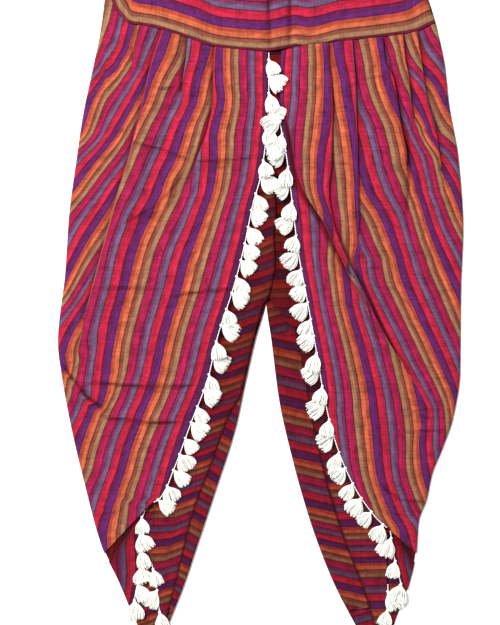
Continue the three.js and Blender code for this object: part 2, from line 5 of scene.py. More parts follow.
import bpy
import numpy as np
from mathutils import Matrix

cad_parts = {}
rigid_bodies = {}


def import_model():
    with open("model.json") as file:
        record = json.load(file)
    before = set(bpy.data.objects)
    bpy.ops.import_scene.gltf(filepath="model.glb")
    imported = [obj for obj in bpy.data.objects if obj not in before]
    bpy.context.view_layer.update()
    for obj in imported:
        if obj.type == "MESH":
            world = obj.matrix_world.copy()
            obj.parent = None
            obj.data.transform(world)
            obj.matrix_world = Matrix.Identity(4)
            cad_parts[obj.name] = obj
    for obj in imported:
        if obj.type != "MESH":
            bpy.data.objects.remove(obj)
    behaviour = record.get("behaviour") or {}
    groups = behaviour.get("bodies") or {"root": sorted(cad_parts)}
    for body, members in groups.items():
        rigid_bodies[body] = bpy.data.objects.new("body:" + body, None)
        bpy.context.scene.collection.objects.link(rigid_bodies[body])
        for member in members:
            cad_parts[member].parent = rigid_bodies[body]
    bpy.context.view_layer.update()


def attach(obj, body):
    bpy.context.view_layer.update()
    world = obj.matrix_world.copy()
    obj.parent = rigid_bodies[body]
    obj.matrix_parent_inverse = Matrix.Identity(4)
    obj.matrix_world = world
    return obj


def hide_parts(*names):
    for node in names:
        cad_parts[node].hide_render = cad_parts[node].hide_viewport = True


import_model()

# Tulip pants laid flat, front up. Sizes are in millimetres until a mesh is made: "x" runs across
# from the middle, "down" from the waist edge, "out" from the middle toward either side, "z" up.
garmentLength = 977
clothThick = 0.9
seamGap = 0.3
forkDown = 508       # where the legs part
bandPitch = 12.7     # one stripe of the cloth
clothMap = {"stripes": 120, "length": 1200, "start": 0.1}   # what the whole UV map spans


def rowsOf(text):  # rows of numbers, parted by commas
    return np.array([[float(value) for value in row.split()] for row in text.split(",")])


def table(names, text):
    return dict(zip(names.split(), rowsOf(text).T))


def smooth(rows, key, value, by="down"):  # a curve through the rows that never swings past them
    xs, ys = rows[by], rows[key]
    value = np.clip(np.asarray(value, float), xs[0], xs[-1])
    secants = np.diff(ys) / np.diff(xs)
    slopes = np.empty_like(ys)
    slopes[0], slopes[-1] = secants[0], secants[-1]
    before, after = secants[:-1], secants[1:]
    same = before * after > 0
    slopes[1:-1] = np.where(same, 2 * before * after / np.where(same, before + after, 1), 0)
    i = np.clip(np.searchsorted(xs, value, side="right") - 1, 0, len(xs) - 2)
    run, rise = xs[i + 1] - xs[i], ys[i + 1] - ys[i]
    s = (value - xs[i]) / run
    start, end = slopes[i] * run, slopes[i + 1] * run
    return ys[i] + s * start + s**2 * (3 * rise - 2 * start - end) + s**3 * (start + end - 2 * rise)


def straight(rows, key, value, by="down"):  # straight between rows, and carried on past the ends
    xs, ys = rows[by], rows[key]
    value = np.asarray(value, float)
    inside = np.interp(value, xs, ys)
    first = (ys[1] - ys[0]) / (xs[1] - xs[0])
    last = (ys[-1] - ys[-2]) / (xs[-1] - xs[-2])
    return inside + first * np.minimum(value - xs[0], 0) + last * np.maximum(value - xs[-1], 0)


def mix(a, b, share):
    return a + (b - a) * share


def ease(share):
    share = np.clip(share, 0, 1)
    return share * share * (3 - 2 * share)


# --- creases ---

creaseForm = {"ends": 0.18, "swing": 0.2, "waves": 11, "shiftRun": 12, "shiftFade": 45}


def crease(rise, reach, path, shade=0, side=1, steep=1, off=1.5, wide=4, shift=0):
    # The dark side is "steep" times narrower. Its shade lies "off" the line and "wide" about it.
    return {"rise": rise, "reach": reach, "path": rowsOf(path), "shade": shade, "side": side,
            "steep": steep, "off": off, "wide": wide, "shift": shift}


def nearPath(points, x, down):  # distance to a line, which side of it, and how far along it
    lengths = np.hypot(*np.diff(points, axis=0).T)
    total, gone = lengths.sum(), 0.0
    best = np.full(np.shape(x), np.inf)
    side = np.zeros(np.shape(x))
    along = np.zeros(np.shape(x))
    for (ax, ay), (bx, by), length in zip(points[:-1], points[1:], lengths):
        ux, uy = (bx - ax) / length, (by - ay) / length
        t = np.clip((x - ax) * ux + (down - ay) * uy, 0, length)
        away = np.hypot(x - ax - t * ux, down - ay - t * uy)
        closer = away < best
        best = np.where(closer, away, best)
        side = np.where(closer, np.sign(ux * (down - ay) - uy * (x - ax)), side)
        along = np.where(closer, (gone + t) / total, along)
        gone += length
    return best, side, along


def creased(creases, x, down):  # height, shade and stripe shift that the creases give each place
    form = creaseForm
    height, shade, shift = (np.zeros(np.shape(x)) for _ in range(3))
    for fold in creases:
        away, side, along = nearPath(fold["path"], x, down)
        taper = ease(along / form["ends"]) * ease((1 - along) / form["ends"])
        swing = form["swing"] * np.sin(form["waves"] * along + fold["reach"])
        taper = taper * (1 - form["swing"] + swing)
        side = side * fold["side"]
        reach = np.where(side > 0, fold["reach"] / fold["steep"], fold["reach"])
        toDark = side * away
        height += fold["rise"] * taper * ease(1 - away / reach)
        shade += fold["shade"] * taper * ease(1 - np.abs(toDark - fold["off"]) / fold["wide"])
        fade = np.exp(-np.maximum(toDark, 0) / form["shiftFade"])
        shift += fold["shift"] * taper * ease(toDark / form["shiftRun"] + 0.5) * fade
    return height, shade, shift


def ripple(x, down, seed):  # slow unevenness of cloth that lies loosely
    bent = x + 9 * np.sin(down / 67 + seed) + 4 * np.sin(down / 29 + 2 * seed)
    broad = np.sin(bent / 31 + seed) * np.sin(down / 83 + 2 * seed)
    long = 0.6 * np.sin(bent / 13 + down / 160 + 3 * seed) * np.sin(down / 61 - x / 90 + seed)
    crossing = 0.3 * np.sin(down / 17 + bent / 43 - seed) * np.sin(bent / 23 + 2 * seed)
    return broad + long + crossing


# --- meshes ---


def linkObject(name, data):
    made = bpy.data.objects.new(name, data)
    bpy.context.scene.collection.objects.link(made)
    return made


def meshObject(name, vertices, faces=(), edges=()):
    mesh = bpy.data.meshes.new(name)
    mesh.from_pydata(vertices, edges, faces)
    return linkObject(name, mesh)


def settle(made, name):  # the evaluated object as a plain mesh, with no modifier left
    evaluated = made.evaluated_get(bpy.context.evaluated_depsgraph_get())
    mesh = bpy.data.meshes.new_from_object(evaluated)
    made.modifiers.clear()
    old, made.data = made.data, mesh
    bpy.data.meshes.remove(old)
    mesh.name = name
    mesh.polygons.foreach_set("use_smooth", [True] * len(mesh.polygons))
    mesh.update()
    return made


def toWorld(x, down, z):
    return np.stack([x, garmentLength / 2 - down, z], axis=-1) / 1000


surfaces = {}    # each piece's grid, for the stitches that follow it


def clothPiece(name, x, down, z, band, along, shade, material):
    surfaces[name] = (x, down, z)
    rows, columns = x.shape
    vertices = toWorld(x, down, z).reshape(-1, 3)
    corner = (np.arange(rows - 1)[:, None] * columns + np.arange(columns - 1)).ravel()
    faces = np.stack([corner, corner + 1, corner + columns + 1, corner + columns], axis=1)
    a, b, c = (vertices[faces[:, i]] for i in (0, 1, 2))
    if np.cross(b - a, c - a)[:, 2].sum() < 0:
        faces = faces[:, ::-1]
    made = meshObject(name, vertices.tolist(), faces.tolist())
    mesh = made.data
    uv = np.stack([band / clothMap["stripes"] + 0.5,
                   along / clothMap["length"] + clothMap["start"]], axis=-1).reshape(-1, 2)
    mesh.uv_layers.new(name="clothMap").data.foreach_set("uv", uv[faces.ravel()].ravel())
    shades = mesh.attributes.new("shade", "FLOAT", "POINT")
    shades.data.foreach_set("value", np.clip(shade, 0, 1).ravel())
    mesh.materials.append(material)
    shell = made.modifiers.new("thickness", "SOLIDIFY")
    shell.thickness = clothThick / 1000
    shell.offset = 0
    settle(made, name)
    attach(made, "root")
    return made


# --- node helpers ---


def feed(socket, value):
    if isinstance(value, bpy.types.NodeSocket):
        socket.id_data.links.new(value, socket)
    elif value is not None:
        socket.default_value = value


def feedAll(node, values):
    for key, value in values.items():
        feed(node.inputs[key], value)
    return node


def put(tree, kind, inputs=(), **settings):
    made = tree.nodes.new(kind)
    for key, value in settings.items():
        setattr(made, key, value)
    return feedAll(made, inputs if isinstance(inputs, dict) else dict(enumerate(inputs)))


def operate(kind, operation, *values):  # in the tree of the first value that is a socket
    tree = next(value for value in values if isinstance(value, bpy.types.NodeSocket)).id_data
    return put(tree, kind, values, operation=operation).outputs[0]


maths, vectorMaths = partial(operate, "ShaderNodeMath"), partial(operate, "ShaderNodeVectorMath")
add, subtract, multiply, divide = (
    partial(maths, operation) for operation in ("ADD", "SUBTRACT", "MULTIPLY", "DIVIDE"))


def newGroup(name, kind, inputs, outputs):
    tree = bpy.data.node_groups.new(name, kind)
    for label, socketType, value in inputs:
        socket = tree.interface.new_socket(
            label, in_out="INPUT", socket_type="NodeSocket" + socketType)
        if value is not None:
            socket.default_value = value
    for label, socketType in outputs:
        tree.interface.new_socket(label, in_out="OUTPUT", socket_type="NodeSocket" + socketType)
    given, result = tree.nodes.new("NodeGroupInput"), tree.nodes.new("NodeGroupOutput")
    return tree, given.outputs, result.inputs


def newMaterial(name):
    material = bpy.data.materials.new(name)
    material.use_nodes = True
    return material, material.node_tree, material.node_tree.nodes["Principled BSDF"]


def colour(red, green, blue):  # screen values, 0 to 255
    def linear(v):
        v /= 255
        return v / 12.92 if v < 0.04045 else ((v + 0.055) / 1.055) ** 2.4
    return (linear(red), linear(green), linear(blue), 1)


# --- the striped cotton ---

# Six stripes repeat. Each is two-toned: "inner" toward the trimmed edge, "outer" away from it.
stripes = {
    "violet": {"inner": (80, 28, 86), "outer": (84, 22, 62)},
    "red": {"inner": (160, 28, 54), "outer": (146, 24, 46)},
    "blue": {"inner": (90, 70, 98), "outer": (98, 38, 70)},
    "magenta": {"inner": (142, 22, 62), "outer": (126, 22, 52)},
    "tan": {"inner": (132, 96, 68), "outer": (112, 58, 46)},
    "orange": {"inner": (168, 84, 54), "outer": (144, 54, 42)},
}
stripeForm = {
    "line": (40, 6, 20), "lineIn": 0.13, "lineOut": 0.6 * 0.13,   # the dark line between stripes
    "innerEnd": 0.46, "outerStart": 0.66, "first": -0.4,          # "first" is where violet begins
    "warpsABand": 21, "weftPitch": 0.6,
}
clothLook = {
    "roughness": 0.86, "roughnessSwing": 0.08, "sheen": 0.04, "sheenRoughness": 0.5,
    "specular": 0.08,
    # deepest and deepTint: how far painted shade goes, and the tint that cloth in painted shade is
    # multiplied by
    "weaveDepth": 0.00012, "weaveStrength": 0.5, "streaks": 1.3, "waver": 0.1, "deepest": 0.97,
    "deepTint": (0.27, 0.0, 0.02),
}


def stripeGroup():
    form, count = stripeForm, len(stripes)
    tree, given, result = newGroup("stripedCotton", "ShaderNodeTree", [
        ("Band", "Float", 0.0), ("Along", "Float", 0.0), ("Waver", "Float", 0.05),
        ("Streaks", "Float", 0.16)], [("Color", "Color"), ("Thread", "Float")])
    place = put(tree, "ShaderNodeCombineXYZ", [given["Band"], given["Along"], 0.0]).outputs[0]

    def yarnNoise(perBand, perLength, detail, roughness=0.7):
        return put(tree, "ShaderNodeTexNoise", {
            "Vector": vectorMaths("MULTIPLY", place, (perBand, perLength, 0)),
            "Scale": 1.0, "Detail": detail, "Roughness": roughness}).outputs["Fac"]

    drift = multiply(subtract(yarnNoise(0.8, 0.03, 3.0, 0.6), 0.5), given["Waver"])
    band = subtract(add(given["Band"], drift), form["first"])
    turn = divide(maths("FLOORED_MODULO", band, float(count)), float(count))
    ramp = put(tree, "ShaderNodeValToRGB", [turn])
    stops = ramp.color_ramp.elements
    stops.remove(stops[1])
    for i, tones in enumerate(stripes.values()):
        inner, outer = colour(*tones["inner"]), colour(*tones["outer"])
        for at, tone in [(i, colour(*form["line"])), (i + form["lineIn"], inner),
                         (i + form["innerEnd"], inner), (i + form["outerStart"], outer),
                         (i + 1 - form["lineOut"], outer)]:
            stop = stops.new(at / count) if at else stops[0]
            stop.color = tone
    streak, across, blotch = (
        yarnNoise(*values) for values in ((6.0, 0.03, 3.0), (0.5, 0.35, 4.0), (1.1, 0.06, 2.0)))
    unevenness = subtract(add(add(streak, across), blotch), 1.5)
    tinted = vectorMaths("SCALE", ramp.outputs[0])
    feed(tinted.node.inputs["Scale"], add(1.0, multiply(unevenness, given["Streaks"])))
    feed(result["Color"], tinted)
    warp = maths("SINE", multiply(band, 2 * math.pi * form["warpsABand"]))
    weft = maths("SINE", multiply(given["Along"], 2 * math.pi / form["weftPitch"]))
    feed(result["Thread"], add(multiply(warp, weft), multiply(across, 2.0)))
    return tree


def shadeGroup():  # cloth gets darker and redder where light has to reach in
    tree, given, result = newGroup("foldShade", "ShaderNodeTree", [
        ("Color", "Color", (1, 1, 1, 1)), ("Shade", "Float", 0.0), ("Deepest", "Float", 0.9)],
        [("Color", "Color")])
    amount = multiply(given["Shade"], given["Deepest"])
    deep = vectorMaths("MULTIPLY", given["Color"], clothLook["deepTint"])
    made = put(tree, "ShaderNodeMix", {
        "Factor": amount, 6: given["Color"], 7: deep}, data_type="RGBA")
    feed(result["Color"], made.outputs[2])
    return tree


stripedCotton, foldShade = stripeGroup(), shadeGroup()


def clothMaterial(name):
    look = clothLook
    material, tree, surface = newMaterial(name)
    place = put(tree, "ShaderNodeSeparateXYZ", [
        put(tree, "ShaderNodeUVMap", uv_map="clothMap").outputs[0]]).outputs
    cotton = feedAll(put(tree, "ShaderNodeGroup", node_tree=stripedCotton), {
        "Band": multiply(subtract(place[0], 0.5), float(clothMap["stripes"])),
        "Along": multiply(subtract(place[1], clothMap["start"]), float(clothMap["length"])),
        "Waver": look["waver"], "Streaks": look["streaks"]}).outputs
    folded = feedAll(put(tree, "ShaderNodeGroup", node_tree=foldShade), {
        "Color": cotton["Color"], "Deepest": look["deepest"],
        "Shade": put(tree, "ShaderNodeAttribute", attribute_name="shade").outputs["Fac"]})
    bump = put(tree, "ShaderNodeBump", {
        "Strength": look["weaveStrength"], "Distance": look["weaveDepth"],
        "Height": cotton["Thread"]})
    feedAll(surface, {
        "Base Color": folded.outputs["Color"], "Normal": bump.outputs[0],
        "Roughness": add(multiply(cotton["Thread"], look["roughnessSwing"] / 3),
                         look["roughness"] - look["roughnessSwing"] / 2),
        "Sheen Weight": look["sheen"], "Sheen Roughness": look["sheenRoughness"],
        "Specular IOR Level": look["specular"]})
    return material


petalCotton, panelCotton, yokeCotton = (
    clothMaterial(name) for name in ("petalCotton", "panelCotton", "yokeCotton"))
print("materials: striped cotton")

# --- outlines that several pieces share ---

yokeSeam = table("x down",
    "-209 76, -206 89, -201 100, -196 112, -186 124, -178 131, -148 136, -98 151, -61 163, "
    "-14 168, 10 169, 28 167, 53 162, 87 158, 124 154, 169 149, 207 143, 237 130")

legs = {
    "left": {
        "side": -1,
        "outline": table("down out",
            "76 209, 100 211, 139 216, 193 227, 255 240, 316 249, 392 259, 467 264, 563 274, "
            "606 269, 672 257, 753 238, 840 214, 886 192, 929 174, 959 162, 977 152"),
        "innerOutline": table("down out",
            "508 -7.8, 548 4, 616 20, 676 33, 764 61, 833 84, 898 106, 941 124, 962 134, 977 144"),
        "trimmedEdge": table("down out",
            "169 -10, 235 -10, 289 -6, 338 1, 374 11, 436 24, 486 37, 554 59, 610 72, 668 94, "
            "730 117, 771 136, 779 149"),
        "frontEdge": table("down out",
            "169 -6.3, 340 -6.3, 367 -20, 392 -21, 416 -18, 451 -20, 494 -13, 510 -6, 521 -3, "
            "620 20, 662 43, 722 65, 791 91, 887 115, 936 128"),
        "ventEdge": table("down out",
            "169 52, 235 52, 370 60, 437 75, 505 88, 572 106, 640 119, 694 129, 734 136, 775 144, "
            "815 149, 842 151, 864 145, 887 140, 919 136, 936 134"),
        "edgeHeight": table("down z", "169 6, 235 11, 374 13, 505 12, 640 10, 779 9"),
        "innerEnd": 933,
    },
    "right": {
        "side": 1,
        "outline": table("down out",
            "130 237, 186 249, 240 255, 316 268, 409 274, 494 271, 602 270, 662 261, 706 246, "
            "741 232, 774 225, 805 214, 846 211, 898 199, 930 187, 957 177, 977 167"),
        "innerOutline": table("down out",
            "508 8.2, 571 16, 640 25, 716 42, 807 68, 890 100, 944 129, 963 142, 977 156"),
        "trimmedEdge": table("down out",
            "167 28, 209 26, 255 27, 317 37, 374 44, 440 52, 504 64, 571 76, 640 88, 695 102, "
            "753 126, 799 158, 814 175"),
        "frontEdge": table("down out",
            "169 7, 370 9, 470 10, 500 12, 525 30, 552 48, 585 57, 662 70, 748 89, 825 113, "
            "911 145, 964 159"),
        "ventEdge": table("down out",
            "169 74, 302 83, 437 91, 505 94, 586 107, 667 124, 707 132, 748 145, 775 159, "
            "802 167, 836 171, 871 171, 941 170, 971 168"),
        "edgeHeight": table("down z", "167 6, 235 10, 374 12, 505 11, 640 10, 814 9"),
        "innerEnd": 956,
    },
}

# --- petals: the pleated front panels ---


# A pleat: its depth, its rise, the painted shade beside its folded edge going down ("dark"), and
# its path.
def pleat(depth, rise, dark, path, ridge=False):
    return {"depth": depth, "rise": rise, "ridge": ridge, "dark": table("down dark", dark),
            "path": table("down out near far", path)}


petals = {
    "left": {
        # One row a line of the cloth, from the trimmed edge to the outline.
        "lines": table("edge outline follow",
            "169 76 1, 240 215 0.25, 316 306 0, 600 600 0, 730 735 0, 771 800 0, 779 846 0"),
        # Each pleat's folded edge, and the stripe on its inner (near) and outer (far) side.
        "pleats": [
            pleat(20, 4.4, "163 0.9, 316 1, 356 0.6", path=
                  "163 61 6.6 11.2, 176 62.5 6.65 11, 208 63.5 6.85 10.25, 235 64 7.15 9.75, "
                  "275 71 6.9 9, 316 86 8.2 9.4, 356 100 9.2 9.2"),
            pleat(12, 4, "151 1, 235 1", path=
                  "151 98 14 15.8, 176 100 14 15.6, 208 104.5 13.7 14.6, 235 107 13.6 13.6"),
            pleat(14, 4.8, "140 0.8, 300 0.7, 400 0.5, 599 0.7", path=
                  "140 132 18.7 31.2, 176 144.5 18.6 30.8, 208 153 18.25 29.6, 235 158.5 18 28.6, "
                  "275 169 17.2 27, 316 179 16.5 25.6, 356 191.5 16.2 23.8, 397 203 15.6 22.6, "
                  "437 213.5 15.3 21, 491 227.5 15.5 18.6, 545 242 15.5 16.7, 599 252 15.6 15.6"),
            pleat(8, 3.6, "134 0.7, 192 0.5", path=
                  "134 165 33.8 34.8, 165 171 33.6 34.6, 192 175 33.4 33.4"),
        ],
        "edgeBand": table("down band", "169 0, 540 0, 640 -0.25, 700 -0.35, 760 0.2, 779 1"),
        "outlineBand": table("down band",
            "76 41, 176 39.8, 208 37.9, 235 36.6, 275 36, 316 32.3, 356 30, 397 27.3, 437 25.7, "
            "491 23.5, 545 19.7, 599 17.9, 633 16.6, 656 15.1, 680 13.5, 707 12.1, 734 11, "
            "761 9.4, 788 8.2, 815 6.8, 846 6"),
        "tip": {
            "under": 10, "height": 3.4, "firstBand": 0.15, "bandWidth": 12,
            "edge": table("down out", "768 153, 791 158, 807 165, 855 163, 907 171, 924 173"),
            "lines": table("edge outline", "790 856, 815 868, 845 884, 875 899, 900 911, 918 920"),
        },
        "creases": [
            crease(4, 13, "-276 586, -266 599, -259 609, -247 624, -237 637, -214 654, -204 662",
                   shade=1, side=-1, steep=2.6, off=2.6, wide=4.2, shift=0.9),
            crease(1.8, 10, "-250 626, -240 619, -223 615, -192 618, -152 620, -111 620, -80 618",
                   shade=1, steep=3, off=1.4, wide=3.2),
            crease(3, 13, "-216 657, -207 663, -183 664, -152 668, -113 668, -96 666",
                   shade=1, steep=3, off=1.7, wide=3.4, shift=0.25),
            crease(1.8, 10, "-182 290, -157 298, -132 303, -108 313, -92 319",
                   shade=0.95, side=-1, steep=2, off=1.2, wide=3.4),
            crease(2.2, 10, "-100 315, -80 319, -50 319, -24 317, -8 314",
                   shade=1, side=-1, steep=2.4, off=0.8, wide=3.2),
            crease(3, 12, "-96 326, -115 354, -138 378, -170 397, -194 410",
                   shade=0.8, steep=2.2, off=2.2, wide=4.4, shift=-0.25),
            crease(1.8, 10, "-128 502, -102 495, -82 493, -61 491, -34 487",
                   shade=0.9, steep=2.4, off=1.6, wide=3.4),
            crease(1.6, 10, "-224 489, -200 486, -170 486, -132 488",
                   shade=0.5, steep=1.8, off=3, wide=5),
            crease(1.6, 8, "-150 214, -134 220, -112 214", shade=0.6, steep=2, off=1.4, wide=3),
            crease(-2, 9, "-196 176, -206 190, -222 204, -230 222", shade=0.55, off=0),
            crease(1.8, 16, "-252 400, -262 470, -270 560"),
            crease(1.6, 18, "-30 250, -36 340, -60 460, -92 600, -118 700"),
            crease(-1.4, 15, "-78 250, -110 380, -120 480, -128 560"),
            crease(1.2, 14, "-172 330, -186 420, -196 520"),
            crease(1.6, 17, "-205 690, -196 740, -180 800"),
            crease(-1.2, 14, "-160 690, -160 740, -158 780"),
        ],
    },
    "right": {
        "lines": table("edge outline follow",
            "167 130 1, 235 228 0.2, 316 316 0, 405 405 0, 640 640 0, 760 766 0, 799 815 0, "
            "814 846 0"),
        "pleats": [
            pleat(0, 3.6, "240 0.6, 300 1, 440 1, 505 0.5", ridge=True, path=
                  "161 36 0.8 0.8, 222 32 0.65 0.75, 244 33.5 0.7 1.1, 280 40.5 0.85 2.1, "
                  "333 49.3 0.95 2.9, 354 56 1.25 3.3, 381 72 2.2 4.3, 400 85 3.1 5.6, "
                  "424 96.5 4.1 6.6, 454 111 5.8 7.4, 491 130 7.5 7.9, 510 137 8.1 8.1"),
            pleat(17, 5, "161 0.5, 380 0.4, 450 0.85, 600 0.9, 648 0.7", path=
                  "161 91 6.4 11.1, 181 92.5 6.3 10.9, 208 95 6.5 10.6, 248 97 6.75 10.3, "
                  "275 96.5 6.9 9.8, 316 96 7.6 9.4, 356 92 7.6 8.7, 397 97.5 6.9 8.6, "
                  "437 112 7.3 9.9, 491 138 8.5 11.9, 555 169 9.6 12.2, 605 202 11.6 12.9, "
                  "648 225 12.7 12.7"),
            pleat(13, 4, "154 0.6, 450 0.3", path=
                  "154 124 13.6 20.9, 181 126 13.6 20.6, 208 128 13.3 20.3, 235 129 13.1 19.9, "
                  "275 130 12.6 18.6, 316 131 12.2 17.8, 356 132 12.1 17, 397 133 12.1 15, "
                  "430 134 12 13.8, 450 136 13 13"),
            pleat(13, 4.2, "150 0.7, 300 1, 350 0.8", path=
                  "150 165 24.4 26.9, 181 168 24.2 25.7, 208 180 25 26.5, 235 184.5 24.5 26.3, "
                  "275 191 23.6 24.7, 316 198 23.5 23.6, 350 198 22.3 22.3"),
            pleat(8, 3.6, "147 0.7, 275 0.5", path=
                  "147 193 29.5 33.7, 181 196 29.2 32.7, 208 200.5 28.6 30.7, 235 203 27.6 29.6, "
                  "275 212 27.4 27.4"),
            pleat(7, 3.6, "144 0.7, 356 0.5", path=
                  "144 212 35.5 37.6, 181 217 34.6 36.7, 235 226 31.6 33.6, 275 237 31.8 33.4, "
                  "316 243 29 30.6, 356 250 28.6 28.6"),
        ],
        "edgeBand": table("down band",
            "167 0, 600 0, 640 0.3, 653 0.6, 694 1.2, 734 2, 775 2.9, 814 4.5"),
        "outlineBand": table("down band",
            "130 40.5, 159 39.6, 181 38.7, 208 37.6, 235 36.6, 275 34.7, 316 32.9, 356 31.2, "
            "397 29.5, 437 27.2, 491 24.5, 532 22.9, 572 21.2, 613 19.5, 653 17.5, 694 15.6, "
            "734 13.3, 775 11.1, 815 8, 846 7"),
        "tip": {
            "under": 10, "height": 3.4, "firstBand": 0.4, "bandWidth": 12,
            "edge": table("down out", "805 176, 818 177, 842 180, 868 186, 894 192, 906 193"),
            "lines": table("edge outline", "818 856, 836 866, 856 878, 876 888, 895 897"),
        },
        "creases": [
            crease(1.6, 9, "206 662, 216 660, 236 664", shade=0.5, steep=2, off=1, wide=3.2),
            crease(1.5, 9, "188 684, 205 681, 232 680, 266 680",
                   shade=0.65, steep=2.4, off=1.2, wide=3.2),
            crease(2.8, 11, "160 744, 172 760, 191 772, 226 776",
                   shade=0.7, steep=2, off=2.4, wide=3.4),
            crease(1, 7, "116 218, 130 210, 148 204, 172 200",
                   shade=0.4, steep=1.6, off=1, wide=3.2),
            crease(1.2, 7, "88 319, 104 320, 124 320", shade=0.6, steep=2, off=1, wide=3.2),
            crease(1.2, 7, "112 448, 124 445, 142 444", shade=0.45, steep=2, off=1, wide=3.2),
            crease(1.4, 8, "198 658, 222 651, 246 654", shade=0.5, steep=2, off=1, wide=3.2),
            crease(-2.4, 9, "184 210, 192 262, 199 293, 201 327, 196 405",
                   shade=1, off=0, wide=5.5),
            crease(2.6, 15, "205 400, 214 440, 236 520, 240 600"),
            crease(-1.2, 12, "150 500, 190 590, 224 640"),
            crease(1.4, 16, "88 430, 104 520, 122 610, 150 700"),
            crease(1.6, 14, "226 300, 238 360, 250 440"),
            crease(-1.3, 14, "152 640, 176 700, 200 760"),
        ],
    },
}

petalBuild = {
    "rowSpacing": 3.0, "columnSpacing": 3.8, "leastColumns": 4, "levels": (60, 880, 2.0),
    "outlineHeight": 4.2, "ripple": 0.8, "edgeRoll": 1.6, "lowest": 1.5,
    "flatHalf": 5.0, "foldHalf": 1.8, "closeFrom": 0.8, "closePower": 0.6, "crestEnds": 60,
    "besideFoldShade": 0.9, "besideFoldReach": 7.0,
    "spreadRun": 150, "bandRun": 110, "leastApart": 1.5,   # how pleats that have ended ease in
    "calmEdge": 0.06, "calmOutline": 0.07, "rippleSeed": 1.3, "settledAt": 1 / 1.15,
    "edgeRollReach": 0.03,
}

# A pleat's section: place as a share of its depth behind the folded edge, a shift, and height as a
# share. "flat" is the place where the same columns lie once the pleat has ended.
pleatSection = table("back shift height flat",
    "0 -1.8 1 -1, 0 -0.6 0.93 -0.8, 0 0 0.74 -0.6, 0 -0.7 0.55 -0.4, 0.5 0 0.5 -0.2, "
    "1 0.7 0.46 0, 1 0 0.27 0.2, 1 0.8 0.08 0.4, 0.45 0 0 0.7, 0 1.8 0 1")
# A ridge is a fold that leans inward: its height and shade over the same places.
ridgeSection = table("height dark",
    "0 0.85, 0 0.9, 0.05 1, 0.3 1, 0.8 1, 1 0.3, 1 0, 0.94 0, 0.85 0, 0.75 0")
ridgeForm = {"darkReach": 8, "besideDark": 0.85, "fall": 22}

# The cloth at an outline turns down to the panel below.
outlineRoll = table("inset drop", "8 0, 5 0.1, 3 0.4, 1.6 0.9, 0.6 1.6, 0.15 2.3")


def yokeSeamAt(leg, out):
    return smooth(yokeSeam, "down", leg["side"] * out, "x")


def pleatMarks(leg, petal):  # for each level: where each folded edge is, and the stripes beside it
    build = petalBuild
    levels = np.arange(*build["levels"])
    paths = [fold["path"] for fold in petal["pleats"]]
    ends = [-np.inf] + [path["down"][-1] for path in paths] + [np.inf]
    edge, outline = (smooth(leg[line], "out", levels) for line in ("trimmedEdge", "outline"))
    edgeBand, outlineBand = (
        smooth(petal[line], "band", levels) for line in ("edgeBand", "outlineBand"))
    places, nears, fars = (
        np.array([first] + [smooth(path, key, levels) for path in paths] + [last])
        for first, key, last in ((edge, "out", outline), (edgeBand, "near", outlineBand),
                                 (edgeBand, "far", outlineBand)))
    last = len(places) - 1
    shares, offsets, sides, since = {}, {}, {}, {}
    for i, level in enumerate(levels):  # past its end, a pleat eases in between those that go on
        going = [k for k in range(last + 1) if k in (0, last) or level <= ends[k]]
        for k in range(1, last):
            if k in going:
                continue
            before, after = max(g for g in going if g < k), min(g for g in going if g > k)
            low, high = places[before, i], places[after, i]
            new = sides.get(k) != (before, after)
            if new:
                sides[k], since[k] = (before, after), level
                shares[k] = (places[k, i - 1] - low) / (high - low)
            spread = min(shares[k], 0.9 * (k - before) / (after - before))
            share = mix(shares[k], spread, ease((level - since[k]) / build["spreadRun"]))
            places[k, i] = max(mix(low, high, share), places[k - 1, i] + build["leastApart"])
            band = mix(fars[before, i], nears[after, i], (places[k, i] - low) / (high - low))
            if new:
                offsets[k] = (nears[k, i - 1] + fars[k, i - 1]) / 2 - band
            kept = 1 - ease((level - since[k]) / build["bandRun"])
            nears[k, i] = fars[k, i] = band + offsets[k] * kept
    return levels, places, nears, fars


def petalColumns(marks):  # how many columns each stretch between folds gets
    levels, places = marks[:2]
    widths = np.diff(places[:, (levels > 200) & (levels < 700)], axis=0).max(axis=1)
    counts = np.maximum(widths / petalBuild["columnSpacing"], petalBuild["leastColumns"])
    return np.ceil(counts).astype(int)


